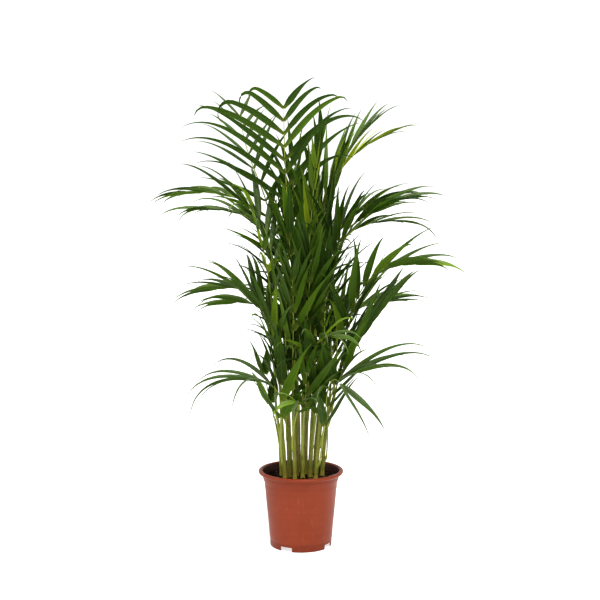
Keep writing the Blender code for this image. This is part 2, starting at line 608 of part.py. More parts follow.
# ----------------------------------------------------------------- leaves
def leaf_sheet(rac, leaflets, origin):
    """Open middle surface of a leaf: a ribbon along the stalk whose edges
    carry the leaflets.  The vertex group holds each point's thickness."""
    bm = bmesh.new()
    grp = bm.verts.layers.deform.verify()

    def vert(p, thick):
        v = bm.verts.new(p - origin)
        v[grp][0] = min(1.0, thick / STALK_T)
        return v

    def station(s):
        p, T, S, N = rac.at(s)
        hw, ht = rac.half(s)
        return vert(p - S * hw, 2 * ht), vert(p + S * hw, 2 * ht)

    by_pair = {}
    for lf in leaflets:
        by_pair.setdefault(lf.habit["i"], {})[lf.habit["side"]] = lf
    reach = rac.foot() / rac.length
    stops = []
    first = min([rac.place(i) for i in by_pair] or [1.0]) - reach
    for k in range(5):
        stops.append((first * k / 5, None))
    for i in sorted(by_pair):
        s = rac.place(i)
        stops.append((s - reach, by_pair[i]))
        stops.append((s + reach, None))
    prev, carried = None, None
    for s, pair in stops:
        here = station(s)
        if prev:
            la, ra = prev
            lb, rb = here
            bm.faces.new((ra, la, lb, rb))
            for side, lf in (carried or {}).items():
                mid, tip = lf.stations()[1:]
                ma, mb = vert(mid[0] - mid[1], mid[3]), vert(mid[0] + mid[1], mid[3])
                end = vert(tip[0], tip[3])
                if side > 0:
                    faces = (ra, rb, ma), (rb, mb, ma), (ma, mb, end)
                else:
                    faces = (lb, la, ma), (lb, ma, mb), (mb, ma, end)
                for three in faces:
                    bm.faces.new(three)
        prev, carried = here, pair
    return bm


def build_leaf(rac, leaflets, col, stem):
    f = rac.f
    base = rac.at(0.0)[0]
    me = bpy.data.meshes.new(f["name"])
    bm = leaf_sheet(rac, leaflets, base)
    bm.normal_update()
    bm.to_mesh(me)
    bm.free()
    old, young = Vector((0.035, 0.095, 0.012)), Vector((0.17, 0.26, 0.035))
    mat = principled(f["name"], old.lerp(young, f["tone"]), 0.42)
    ob = add(f["name"], me, col, mat, base, stem)
    ob.vertex_groups.new(name="thickness")
    mod = ob.modifiers.new("Thickness", "SOLIDIFY")
    mod.thickness = STALK_T
    mod.offset = 0.0
    mod.vertex_group = "thickness"
    mod.use_rim = True
    return ob


def main():
    clear_scene()
    col = new_collection("potted_palm")
    cutters = new_collection("cutters")
    pot = build_pot(col, cutters)
    build_soil(col, pot)
    stems = {key: build_stem(key, col, pot) for key in STEMS}
    for rac, leaflets in grow_palm():
        build_leaf(rac, leaflets, col, stems[rac.f["stem"]])
    bpy.context.view_layer.update()


main()
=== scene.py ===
"""Looks of the potted areca palm: fine leaves, canes, soil and pot around the
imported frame.  Metres, +Z up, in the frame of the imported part."""

import bpy
import bmesh
import numpy as np
from math import sin, cos, atan2, radians, pi, sqrt, exp
from random import Random
from mathutils import Vector, Matrix, Quaternion, noise
from mathutils.bvhtree import BVHTree


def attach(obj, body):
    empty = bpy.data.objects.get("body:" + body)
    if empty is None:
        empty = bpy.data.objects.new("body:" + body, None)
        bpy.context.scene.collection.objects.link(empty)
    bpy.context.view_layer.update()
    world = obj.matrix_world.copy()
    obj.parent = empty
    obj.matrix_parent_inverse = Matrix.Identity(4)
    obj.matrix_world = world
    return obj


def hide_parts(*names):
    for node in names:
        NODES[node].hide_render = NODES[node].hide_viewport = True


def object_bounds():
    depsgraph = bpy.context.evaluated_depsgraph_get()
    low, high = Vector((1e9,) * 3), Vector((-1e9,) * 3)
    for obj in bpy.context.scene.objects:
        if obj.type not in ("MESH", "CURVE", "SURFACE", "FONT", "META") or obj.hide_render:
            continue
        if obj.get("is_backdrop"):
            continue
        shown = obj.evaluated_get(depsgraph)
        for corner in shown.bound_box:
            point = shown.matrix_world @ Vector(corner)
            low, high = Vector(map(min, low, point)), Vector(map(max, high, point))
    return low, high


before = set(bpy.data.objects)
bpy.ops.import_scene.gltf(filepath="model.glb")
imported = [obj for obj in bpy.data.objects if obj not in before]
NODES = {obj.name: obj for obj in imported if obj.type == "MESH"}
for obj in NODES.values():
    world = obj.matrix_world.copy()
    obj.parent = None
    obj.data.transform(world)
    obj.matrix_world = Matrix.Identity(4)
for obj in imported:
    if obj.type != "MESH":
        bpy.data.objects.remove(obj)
CAD_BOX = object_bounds()

MM = 0.001
UP = Vector((0.0, 0.0, 1.0))

# ------------------------------------------------------ driving dimensions
GAP = 0.3 * MM              # clearance kept between neighbouring pieces

POT_STEPS = 40              # facets round the pot
POT_H = 140.3 * MM          # height of the pot
POT_WALL = 1.5 * MM         # moulded wall thickness
FOOT_R = 56.4 * MM          # outer radius at the foot
RIM_R = 77.8 * MM           # outer radius of the rolled rim
MOUTH_R = 71.2 * MM         # inner radius at the mouth
RIM_DEPTH = 8.3 * MM        # how far the curled rim reaches down
PLATE_Z = 10.0 * MM         # underside of the raised base plate
# outer wall below the rim: radius, height
WALL = [(57.4, 15.0), (59.8, 42.0), (64.0, 86.0), (66.6, 115.0), (69.0, 124.0)]
NOTCH_W = 23.0 * MM         # drainage notches in the foot
NOTCH_H = 8.2 * MM
NOTCH_AZ = (-118.5, -28.5, 61.5, 151.5)
HOLE_R = 4.5 * MM           # drainage holes in the base plate
HOLE_RING = 38.0 * MM
HOLES = 6

SOIL_Z = 128.5 * MM         # level soil in the middle
SOIL_EDGE_Z = 126.5 * MM    # where it meets the wall
SOIL_FLAT_R = 46.0 * MM
STEM_FOOT_Z = SOIL_Z + GAP

STALK_W = 3.4 * MM          # leaf stalk at its base, width and thickness
STALK_T = 3.0 * MM
BLADE_T = 0.8 * MM          # leaflet thickness


# ------------------------------------------------------ design of the palm
# Stems: foot x, foot y, top x, top y, top z, foot radius, top radius (mm).
STEMS = {
    "a": (-35, 3, -42, 5, 225, 3.6, 2.2),
    "b": (-29, -17, -36, -26, 255, 3.4, 2.1),
    "c": (-21, -8, -26, -11, 285, 3.8, 2.3),
    "d": (-19, 18, -25, 27, 285, 3.6, 2.2),
    "e": (-11, -25, -14, -36, 240, 3.3, 2.1),
    "f": (-8, 2, -10, 3, 310, 3.9, 2.3),
    "g": (-3, 28, -5, 41, 265, 3.5, 2.1),
    "h": (3, -15, 4, -20, 295, 3.7, 2.2),
    "i": (9, 13, 12, 19, 300, 3.7, 2.2),
    "j": (17, -7, 23, -9, 285, 3.8, 2.3),
    "k": (25, 24, 35, 35, 255, 3.4, 2.1),
    "l": (27, -23, 37, -34, 235, 3.4, 2.1),
    "m": (39, 4, 52, 6, 265, 3.7, 2.2),
}
LEAVES = []


def leaf(name, stem, at, tip, rise, pairs, length, width, az=None, blade=0.42,
         k0=0.42, k1=0.34, a0=58, a1=20, vee=26, droop=1.0, ins=30, short=0.6,
         skew=0.0, lean=0.0, tone=0.3, seed=1):
    """One leaf of the design: where it leaves its stem (mm), its tip (mm), how
    steeply it ends (deg), leaflet pairs, leaflet length and width (mm).  a0 and
    a1 are the leaflets' angles to the stalk at its foot and its tip (deg), vee
    lifts them above it, ins turns their blades, and lean and skew set the two
    sides apart."""
    LEAVES.append(dict(
        name=name, stem=stem, at=at, tip=tip, rise=rise, pairs=pairs, length=length,
        width=width, az=az, blade=blade, k0=k0, k1=k1, a0=a0, a1=a1, vee=vee,
        droop=droop, ins=ins, short=short, skew=skew, lean=lean, tone=tone, seed=seed))


# upper and left leaves
leaf("frond_crown_left", "f", 310, (-30, -35, 799), 92, 8, 215, 14, az=-100, blade=0.66, k0=0.5, k1=0.3, a0=46, a1=38, vee=10, droop=1.0, ins=12, short=0.6, skew=-0.1, lean=-7, tone=0.4, seed=1)
leaf("frond_high_left", "d", 285, (-114, 105, 790), 50, 10, 145, 9.5, az=102, blade=0.46, k0=0.85, k1=0.42, a0=50, a1=28, vee=12, droop=0.6, ins=5, short=0.35, tone=0.2, seed=2)
leaf("frond_arch_left", "b", 255, (-202, 25, 648), -4, 10, 185, 12.5, blade=0.44, k0=0.62, k1=0.45, a0=40, a1=20, vee=14, ins=34, short=0.5, tone=0.35, seed=3)
leaf("frond_small_left", "c", 225, (-80, -75, 625), 70, 5, 85, 12, az=200, blade=0.6, a0=60, a1=12, vee=20, droop=2.2, short=0.3, tone=0.7, seed=4)
leaf("frond_middle_left", "a", 225, (-148, 40, 472), -8, 9, 190, 14, blade=0.46, k0=0.55, k1=0.4, a0=46, a1=16, vee=18, droop=1.0, short=0.45, tone=0.35, seed=5)
leaf("frond_lower_left", "b", 200, (-106, -35, 455), 0, 7, 165, 15, blade=0.46, k0=0.5, k1=0.4, a0=42, a1=14, vee=14, droop=1.15, ins=45, short=0.4, tone=0.5, seed=6)
leaf("frond_low_left", "b", 160, (-74, -60, 318), 12, 4, 190, 10, az=180, blade=0.74, k0=0.5, k1=0.4, a0=44, a1=12, vee=6, droop=2.4, ins=45, short=0.05, tone=0.35, seed=7)
leaf("frond_bifid_left", "a", 175, (-66, 0, 324), 74, 2, 85, 28, az=260, blade=0.6, k0=0.4, k1=0.3, a0=14, a1=8, vee=10, droop=0.5, short=0.1, tone=0.3, seed=8)
# right leaves
leaf("frond_young_right", "m", 265, (140, -20, 745), 26, 9, 120, 7, blade=0.55, k0=0.45, k1=0.4, a0=24, a1=10, vee=14, droop=0.7, short=0.3, tone=1.0, seed=62)
leaf("frond_high_right", "i", 300, (108, 60, 752), 46, 10, 150, 10, blade=0.5, a0=36, a1=14, droop=0.5, short=0.3, tone=0.2, seed=10)
leaf("frond_arch_right", "k", 255, (165, 15, 634), 12, 10, 190, 13.5, k0=0.55, k1=0.4, a0=44, a1=18, vee=20, droop=1.0, short=0.42, tone=0.25, seed=11)
leaf("frond_dense_right", "m", 240, (125, -40, 612), 22, 9, 180, 13, k0=0.55, k1=0.4, a0=50, a1=18, vee=40, droop=0.9, ins=28, short=0.45, tone=0.2, seed=35)
leaf("frond_middle_right", "m", 215, (186, -95, 530), 4, 9, 190, 15, k0=0.55, k1=0.4, a0=34, a1=15, vee=6, droop=0.75, ins=50, short=0.42, tone=0.5, seed=12)
leaf("frond_lower_right", "k", 225, (152, 60, 445), 6, 8, 185, 13, k0=0.55, k1=0.4, a0=42, a1=14, vee=20, droop=0.8, ins=28, short=0.45, tone=0.3, seed=13)
leaf("frond_steep_right", "l", 200, (148, -20, 450), 50, 6, 155, 20, blade=0.5, a0=28, a1=8, vee=14, droop=0.4, ins=42, short=0.4, tone=0.2, seed=14)
leaf("frond_low_right", "m", 155, (92, -45, 325), 24, 5, 190, 11, az=-15, blade=0.74, k0=0.5, k1=0.35, a0=48, a1=10, vee=6, droop=1.4, ins=45, short=0.15, tone=0.4, seed=15)
# leaves that rise through the middle
leaf("frond_crown_centre", "j", 285, (35, -15, 735), 80, 7, 150, 15, blade=0.45, a0=20, a1=8, vee=20, droop=0.5, short=0.4, tone=0.3, seed=16)
leaf("frond_young_centre", "h", 295, (25, -55, 695), 82, 5, 100, 12, blade=0.6, a0=16, a1=7, vee=20, droop=0.5, short=0.4, tone=0.9, seed=17)
leaf("frond_high_centre", "c", 285, (-12, 20, 700), 84, 7, 150, 15, blade=0.45, a0=22, a1=9, vee=24, droop=0.6, short=0.4, tone=0.3, seed=18)
leaf("frond_crown_right", "i", 280, (65, 10, 685), 74, 7, 150, 15, blade=0.45, a0=24, a1=9, vee=24, droop=0.7, short=0.4, tone=0.2, seed=19)
# front leaves
leaf("frond_front_high_left", "e", 240, (-25, -100, 600), 72, 8, 160, 17, az=-120, a0=26, a1=9, vee=20, droop=0.8, short=0.4, tone=0.3, seed=20)
leaf("frond_front_middle_left", "e", 210, (-15, -135, 505), 54, 6, 150, 18, az=-95, a0=26, a1=10, vee=24, droop=0.9, short=0.4, tone=0.35, seed=21)
leaf("frond_front_high_right", "l", 235, (50, -105, 520), 64, 7, 160, 17, az=-65, a0=26, a1=9, vee=24, droop=0.8, short=0.4, tone=0.25, seed=22)
leaf("frond_front_arch", "h", 255, (15, -145, 550), 60, 7, 165, 18, az=-92, blade=0.42, a0=24, a1=9, vee=20, droop=0.8, short=0.4, tone=0.3, seed=23)
leaf("frond_front_middle_right", "j", 215, (50, -120, 405), 8, 5, 120, 14, az=-50, blade=0.55, a0=44, a1=14, vee=20, droop=1.6, short=0.3, tone=0.6, seed=24)
leaf("frond_front_low", "e", 180, (-5, -90, 285), 0, 3, 85, 13, az=-120, blade=0.65, a0=40, a1=16, vee=14, droop=2.0, short=0.2, tone=0.5, seed=25)
leaf("frond_front_steep_left", "c", 195, (-25, -60, 360), 74, 5, 135, 20, az=-120, blade=0.5, a0=26, a1=16, vee=20, droop=0.6, short=0.3, tone=0.3, seed=53)
leaf("frond_front_steep_right", "j", 180, (40, -55, 320), 68, 4, 130, 20, az=-60, blade=0.5, a0=24, a1=10, vee=20, droop=0.7, short=0.3, tone=0.3, seed=37)
# back leaves
leaf("frond_back_high_left", "g", 265, (-45, 136, 568), 26, 9, 180, 13, az=112, a0=52, a1=15, vee=24, short=0.5, tone=0.3, seed=26)
leaf("frond_back_high_right", "k", 235, (60, 136, 543), 18, 9, 175, 13, az=72, a0=52, a1=15, vee=24, short=0.5, tone=0.35, seed=27)
leaf("frond_back_arch", "g", 235, (-10, 150, 430), -6, 8, 160, 13, az=95, a0=50, a1=15, vee=20, droop=1.1, short=0.5, tone=0.45, seed=28)
leaf("frond_back_left", "d", 240, (-65, 120, 460), -4, 7, 150, 13, az=135, a0=50, a1=15, vee=20, short=0.5, tone=0.35, seed=29)
leaf("frond_back_low_left", "d", 205, (-35, 95, 375), 60, 5, 150, 18, az=120, blade=0.5, a0=30, a1=12, vee=18, droop=0.8, short=0.3, tone=0.3, seed=30)
leaf("frond_back_low_right", "k", 200, (60, 95, 370), 60, 5, 150, 20, az=60, blade=0.5, a0=30, a1=12, vee=18, droop=0.8, short=0.3, tone=0.3, seed=31)
leaf("frond_back_right", "i", 250, (45, 90, 610), 50, 8, 150, 14, az=60, blade=0.46, a0=46, a1=12, droop=0.9, short=0.5, tone=0.25, seed=33)
leaf("frond_back_centre", "f", 280, (-20, 60, 650), 66, 8, 150, 14, az=110, blade=0.5, a0=42, a1=10, droop=0.9, short=0.5, tone=0.25, seed=34)
# leaves that fill the left side and the foot of the clump
leaf("frond_hanging_left", "d", 250, (-160, -70, 622), 4, 9, 170, 13, az=200, blade=0.46, k0=0.62, k1=0.4, a0=48, a1=16, vee=14, droop=1.35, ins=26, short=0.45, tone=0.3, seed=38)
leaf("frond_front_lower_left", "b", 150, (-40, -70, 345), 74, 4, 135, 22, az=-130, blade=0.5, a0=24, a1=9, vee=18, droop=0.6, short=0.3, tone=0.25, seed=39)
leaf("frond_front_lower_centre", "h", 165, (10, -85, 360), 72, 5, 135, 20, az=-95, blade=0.5, a0=24, a1=9, vee=18, droop=0.6, short=0.3, tone=0.25, seed=40)
leaf("frond_front_lower_right", "l", 185, (70, -60, 350), 70, 5, 135, 21, az=-50, blade=0.5, a0=24, a1=9, vee=18, droop=0.6, short=0.3, tone=0.25, seed=63)
leaf("frond_hanging_right", "j", 250, (155, -75, 600), 4, 8, 185, 11, k0=0.6, k1=0.4, a0=44, a1=16, vee=12, droop=1.2, ins=26, short=0.4, tone=0.3, seed=44)
leaf("frond_back_inner_left", "f", 230, (-20, 55, 410), 74, 6, 140, 16, az=120, blade=0.45, a0=24, a1=9, vee=20, droop=0.7, short=0.3, tone=0.2, seed=43)
leaf("frond_back_inner_right", "i", 225, (35, 60, 400), 74, 6, 140, 16, az=60, blade=0.45, a0=24, a1=14, vee=20, droop=0.7, short=0.3, tone=0.2, seed=45)
leaf("frond_drooping_right", "l", 150, (75, -90, 314), -40, 2, 130, 20, az=-35, blade=0.4, k0=0.7, k1=0.3, a0=24, a1=17, vee=0, droop=0.7, ins=20, short=0.1, tone=0.4, seed=46)


# ---------------------------------------------------------------- growth
# The stems and leaves follow one rule each: a stem is a leaning, slightly
# bowed tapering tube; a leaf is a stalk that leaves its stem, rises along it
# and arches over to a tip, with paired leaflets along its outer part.  Each
# leaflet leaves at its own angle, rises a little and droops under its weight.
# Leaflets are then turned or shortened until none touches anything else.


def mix(a, b, t):
    return a + (b - a) * t


def stem_point(key, z):
    """Centre and radius of a stem at height z."""
    fx, fy, tx, ty, tz, r0, r1 = STEMS[key]
    t = (z - STEM_FOOT_Z) / (tz * MM - STEM_FOOT_Z)
    bow = 0.12 * sin(pi * min(max(t, 0.0), 1.0))
    x = mix(fx, tx, t) - (tx - fx) * bow
    y = mix(fy, ty, t) - (ty - fy) * bow
    return Vector((x * MM, y * MM, z)), mix(r0, r1, t) * MM


def stem_path(key, count):
    top = STEMS[key][4] * MM
    return [stem_point(key, mix(STEM_FOOT_Z, top, k / (count - 1))) for k in range(count)]


class Rachis:
    """The stalk and midrib of one leaf, with its frame along the way."""

    def __init__(self, f, shift, spin):
        self.f = f
        tip = Vector(f["tip"]) * MM
        top = STEMS[f["stem"]][4] * MM
        z = min(f["at"] * MM, top)
        axis, r = stem_point(f["stem"], z)
        a, _ = stem_point(f["stem"], z - 4 * MM)
        b, _ = stem_point(f["stem"], z + 4 * MM)
        along = (b - a).normalized()
        reach = tip - axis
        az = atan2(reach.y, reach.x) if f["az"] is None else radians(f["az"])
        self.out = Vector((cos(az), sin(az), 0.0))
        if z >= top - 0.5 * MM:
            base = axis + along * (GAP + 0.5 * MM)
            d0 = along
        else:
            way = Vector((cos(az + spin), sin(az + spin), 0.0))
            base = axis + way * (r + GAP + STALK_T * 0.5 + 0.25 * MM)
            d0 = (along + way * 0.10).normalized()
        el = radians(f["rise"])
        d3 = (self.out * cos(el) + UP * sin(el)).normalized()
        chord = (tip - base).length
        c = (base, base + d0 * chord * f["k0"] + shift * 0.5,
             tip - d3 * chord * f["k1"] + shift, tip + shift * 0.6)
        pts = []
        for k in range(61):
            t = k / 60.0
            u = 1 - t
            pts.append(c[0] * (u * u * u) + c[1] * (3 * u * u * t) + c[2] * (3 * u * t * t) + c[3] * (t * t * t))
        cum = [0.0]
        for p, q in zip(pts, pts[1:]):
            cum.append(cum[-1] + (q - p).length)
        self.pts, self.cum, self.length = pts, cum, cum[-1]

    def at(self, s):
        """Point, direction, side and upper-face normal at fraction s."""
        d = max(0.0, min(1.0, s)) * self.length
        i = 0
        while i < 59 and self.cum[i + 1] < d:
            i += 1
        p = self.pts[i].lerp(self.pts[i + 1], (d - self.cum[i]) / (self.cum[i + 1] - self.cum[i]))
        t = (self.pts[min(60, i + 2)] - self.pts[max(0, i - 1)]).normalized()
        side = UP.cross(self.out)
        nrm = t.cross(side).normalized()
        side = nrm.cross(t).normalized()
        return p, t, side, nrm

    def half(self, s):
        """Half width and half thickness of the stalk at s."""
        k = mix(1.0, 0.42, max(0.0, (s - 0.15) / 0.85))
        return STALK_W * 0.5 * k, STALK_T * 0.5 * k

    def foot(self):
        """Half the length along the midrib that a leaflet is joined over."""
        f = self.f
        return min(f["width"] * MM * 0.22, self.length * (1 - f["blade"]) / f["pairs"] * 0.32)

    def place(self, i):
        f = self.f
        last = 1.0 - self.foot() / self.length
        return mix(f["blade"], last, (i / max(1, f["pairs"] - 1)) ** 0.95)


def leaflet_habits(f):
    """The natural spread of a leaf's leaflets, the same every time."""
    rnd = Random(f["seed"] * 7919 + 13)
    out = []
    for i in range(f["pairs"]):
        u = i / max(1, f["pairs"] - 1)
        for side in (1, -1):
            prof = 1.0 - f["short"] * max(0.0, (u - 0.25) / 0.75) ** 1.25 - 0.9 * max(0.0, 0.22 - u)
            prof *= 1.0 + f["skew"] * side
            out.append(dict(
                i=i, u=u, side=side,
                alpha=radians(mix(f["a0"], f["a1"], u ** 0.85) + f["lean"] * side + rnd.uniform(-5, 5)),
                beta=radians(f["vee"] * mix(1.0, 0.55, u) + rnd.uniform(-7, 7)),
                length=f["length"] * MM * prof * rnd.uniform(0.9, 1.07),
                width=f["width"] * MM * mix(1.0, 0.8, abs(u - 0.4) * 1.6) * rnd.uniform(0.9, 1.1),
                droop=f["droop"] * rnd.uniform(0.7, 1.35),
                hook=rnd.uniform(0.2, 1.0),
                twist=radians(rnd.uniform(-26, 26)),
                sway=radians(rnd.uniform(-7, 7)),
                shade=rnd.random(), wave=rnd.uniform(-1, 1)))
    return out


class Leaflet:
    STEPS = 14

    def __init__(self, rac, habit, turn, tilt, more, scale):
        f = rac.f
        self.habit, self.rac = habit, rac
        self.s = rac.place(habit["i"])
        p, T, S, N = rac.at(self.s)
        hw, ht = rac.half(self.s)
        self.T, self.N = T, N
        al, be = habit["alpha"] + turn, habit["beta"] + tilt
        side = S * habit["side"]
        d = (T * cos(al) + (side * cos(be) + N * sin(be)) * sin(al)).normalized()
        w = (T - d * T.dot(d)).normalized()
        w = Quaternion(d, radians(f["ins"]) * habit["side"]) @ w
        self.length = habit["length"] * scale
        self.width = habit["width"] * (0.5 + 0.5 * scale)
        self.thick0 = ht * 2
        pos = p + side * hw
        n = self.STEPS
        pts, dirs, wid = [pos.copy()], [d.copy()], [w.copy()]
        for j in range(n):
            s = (j + 0.5) / n
            flat = sqrt(d.x * d.x + d.y * d.y)
            axis = d.cross(-UP)
            if axis.length > 1e-4:
                ang = (habit["droop"] + more) * (0.22 + 0.9 * flat) * (0.28 + 1.5 * s * s + 1.6 * habit["hook"] * s ** 5) / n
                ang = min(ang, max(0.0, radians(78) - atan2(-d.z, max(flat, 1e-5))))
                q = Quaternion(axis.normalized(), ang)
                d = (q @ d).normalized()
                w = q @ w
            d = (Quaternion(w.cross(d).normalized(), habit["sway"] / n * (1 + s)) @ d).normalized()
            w = Quaternion(d, habit["twist"] / n * 2 * s) @ w
            w = (w - d * w.dot(d)).normalized()
            pos = pos + d * (self.length / n)
            pts.append(pos.copy())
            dirs.append(d.copy())
            wid.append(w.copy())
        self.pts, self.dirs, self.wid = pts, dirs, wid

    def breadth(self, s):
        rise = 0.45 + 0.55 * min(1.0, s / 0.24) ** 0.8
        return self.width * rise * max(0.0, 1 - s) * (1 + 1.15 * s)

    def face(self, j):
        """Upper-face normal at step j."""
        return self.wid[j].cross(self.dirs[j]).normalized() * self.habit["side"]

    def stations(self):
        """Rough sections: centre, half-width vector, normal, thickness."""
        mid = 6
        half = self.breadth(mid / self.STEPS) * 0.5
        return [(self.pts[0], self.T * self.rac.foot(), self.N, self.thick0),
                (self.pts[mid], self.wid[mid] * half, self.face(mid), BLADE_T),
                (self.pts[-1], Vector((0, 0, 0)), self.face(-1), BLADE_T)]


class Body:
    """A closed faceted solid with a search tree, to keep pieces apart.  The
    tree is in millimetres, because its triangle test loses precision on
    coordinates of a few thousandths."""

    def __init__(self, V, F, tag):
        self.tree = BVHTree.FromPolygons([v / MM for v in V], F, all_triangles=True)
        self.lo = [min(v[i] for v in V) for i in range(3)]
        self.hi = [max(v[i] for v in V) for i in range(3)]
        self.tag = tag

    def meets(self, o):
        for i in range(3):
            if self.lo[i] > o.hi[i] or o.lo[i] > self.hi[i]:
                return False
        return bool(self.tree.overlap(o.tree))


def loft(sections):
    """Closed solid through four-cornered sections; the last may be an edge."""
    V, F = [], []
    for sec in sections:
        V += sec
    a = 0
    for k in range(len(sections) - 1):
        b = a + 4
        if len(sections[k + 1]) == 2:
            F += [(a, a + 1, b), (a + 3, b + 1, a + 2), (a + 1, a + 2, b + 1),
                  (a + 1, b + 1, b), (a, b, b + 1), (a, b + 1, a + 3)]
        else:
            F += [(a, a + 1, b + 1), (a, b + 1, b), (a + 1, a + 2, b + 2), (a + 1, b + 2, b + 1),
                  (a + 3, b + 2, a + 2), (a + 3, b + 3, b + 2), (a + 3, a, b), (a + 3, b, b + 3)]
            a = b
    F += [(0, 2, 1), (0, 3, 2)]
    if len(sections[-1]) == 4:
        F += [(a, a + 1, a + 2), (a, a + 2, a + 3)]
    return V, F


def leaflet_body(lf, grow, tag, start=0.0):
    """The leaflet as a solid, from a fraction of the way to its middle."""
    st = lf.stations()
    if start:
        a, b = st[0], st[1]
        st[0] = (a[0].lerp(b[0], start), a[1].lerp(b[1], start),
                 a[2].lerp(b[2], start).normalized(), mix(a[3], b[3], start))
    secs = []
    for p, w, n, th in st:
        t = n * (th * 0.5 + grow)
        if w.length < 1e-9:
            secs.append([p + t, p - t])
        else:
            h = w + w.normalized() * grow
            secs.append([p + h + t, p - h + t, p - h - t, p + h - t])
    return Body(*loft(secs), tag)


def stalk_body(rac, grow, tag):
    secs = []
    for k in range(26):
        p, T, S, N = rac.at(k / 25)
        hw, ht = rac.half(k / 25)
        h, t = S * (hw + grow), N * (ht + grow)
        secs.append([p + h + t, p - h + t, p - h - t, p + h - t])
    return Body(*loft(secs), tag)


def stem_body(key, tag):
    V, F = [], []
    path = stem_path(key, 5)
    n, sides = len(path), 10
    for k, (p, r) in enumerate(path):
        t = (path[min(k + 1, n - 1)][0] - path[max(k - 1, 0)][0]).normalized()
        x = t.cross(Vector((0, 1, 0.01))).normalized()
        y = t.cross(x)
        for q in range(sides):
            a = 2 * pi * q / sides
            V.append(p + (x * cos(a) + y * sin(a)) * (r * 1.03))
    for k in range(n - 1):
        for q in range(sides):
            a, b = k * sides + q, k * sides + (q + 1) % sides
            F += [(a, b, b + sides), (a, b + sides, a + sides)]
    m = (n - 1) * sides
    for q in range(1, sides - 1):
        F += [(0, q + 1, q), (m, m + q, m + q + 1)]
    return Body(V, F, tag)


def grow_palm():
    """Every leaf with the leaflets it has room for: [(rachis, leaflets)]."""
    placed = [stem_body(key, ("stem", key)) for key in STEMS]
    shifts = [Vector((0, 0, 0))]
    for r in (5, 9, 14, 20, 27):
        for k in range(6):
            a = 2 * pi * k / 6 + r
            shifts.append(Vector((cos(a) * r, sin(a) * r, 0)) * MM)
    stalks = []
    for f in LEAVES:
        own = [b for b in placed if b.tag == ("stem", f["stem"])][0]
        found = None
        for spin in (0.0, 0.5, -0.5, 1.0, -1.0):
            for shift in shifts:
                rac = Rachis(f, shift, spin)
                wide = stalk_body(rac, 0.55 * MM, ("leaf", f["name"]))
                if any(wide.meets(b) for b in placed if b is not own):
                    continue
                if not stalk_body(rac, 0.12 * MM, None).meets(own):
                    found = rac
                    break
            if found:
                break
        if found:
            stalks.append(found)
            placed.append(stalk_body(found, 0.0, ("stalk", f["name"])))
        else:
            print("no room for the stalk of", f["name"])
    tries = [(0.0, 0.0, 0.0)]
    for m in (0.12, 0.24, 0.36, 0.5):
        for a, b, c in ((0, 1, 0), (0, -1, 0), (1, 0, 0), (-1, 0, 0), (1, 1, 0),
                        (-1, 1, 0), (1, -1, 0), (-1, -1, 0), (0, 0, 1), (0, 0, -1)):
            tries.append((a * m * 0.6, b * m, c * m * 1.3))
    palm = []
    lost = 0
    for rac in stalks:
        mine = []
        own = stalk_body(rac, 0.0, None)
        for habit in leaflet_habits(rac.f):
            found = None
            for scale in (1.0, 0.85, 0.7, 0.52):
                for turn, tilt, more in tries:
                    lf = Leaflet(rac, habit, turn, tilt, more, scale)
                    wide = leaflet_body(lf, 0.45 * MM, None)
                    if leaflet_body(lf, 0.3 * MM, None, 0.2).meets(own):
                        continue
                    if not any(wide.meets(b) for b in placed if b.tag != ("stalk", rac.f["name"])):
                        found = lf
                        break
                if found:
                    break
            if found:
                mine.append(found)
                placed.append(leaflet_body(found, 0.0, ("leaflet", rac.f["name"])))
            else:
                lost += 1
        palm.append((rac, mine))
    print("leaves", len(palm), "leaflets", sum(len(m) for _, m in palm), "no room", lost)
    return palm


# ------------------------------------------------------------- mesh helper
class Skin:
    """Collects rings of points into one closed, textured surface."""

    def __init__(self):
        self.v, self.f, self.uv, self.col, self.mat = [], [], [], [], []

    def ring(self, pts):
        k = len(self.v)
        self.v += pts
        return list(range(k, k + len(pts)))

    def face(self, ids, uvs, cols, mat=0):
        self.f.append(ids)
        self.uv += uvs
        self.col += cols
        self.mat.append(mat)

    def tube(self, rings, vs, col, mat=0, closed=True):
        """Quads between rings of the same count, capped at both ends.  vs is
        the place along, col(k, q) the colour at ring k, corner q."""
        n = len(rings[0])
        for k in range(len(rings) - 1):
            a, b = rings[k], rings[k + 1]
            for q in range(n):
                r = (q + 1) % n
                self.face((a[q], a[r], b[r], b[q]),
                          [(q / n, vs[k]), ((q + 1) / n, vs[k]), ((q + 1) / n, vs[k + 1]), (q / n, vs[k + 1])],
                          [col(k, q), col(k, r), col(k + 1, r), col(k + 1, q)], mat)
        if closed:
            a, b = rings[0], rings[-1]
            self.face(tuple(reversed(a)), [(0.5, vs[0])] * n, [col(0, 0)] * n, mat)
            self.face(tuple(b), [(0.5, vs[-1])] * n, [col(len(rings) - 1, 0)] * n, mat)

    def object(self, name, materials, sharp=50):
        me = bpy.data.meshes.new(name)
        me.from_pydata([tuple(p) for p in self.v], [], self.f)
        uv = me.uv_layers.new(name="UVMap")
        uv.data.foreach_set("uv", np.array(self.uv, dtype=np.float32).ravel())
        ca = me.color_attributes.new("tint", "FLOAT_COLOR", "CORNER")
        ca.data.foreach_set("color", np.array(self.col, dtype=np.float32).ravel())
        for m in materials:
            me.materials.append(m)
        me.polygons.foreach_set("material_index", self.mat)
        me.polygons.foreach_set("use_smooth", [True] * len(self.f))
        bm = bmesh.new()
        bm.from_mesh(me)
        bmesh.ops.recalc_face_normals(bm, faces=bm.faces)
        bm.to_mesh(me)
        bm.free()
        me.update()
        me.set_sharp_from_angle(angle=radians(sharp))
        ob = bpy.data.objects.new(name, me)
        bpy.context.scene.collection.objects.link(ob)
        return ob


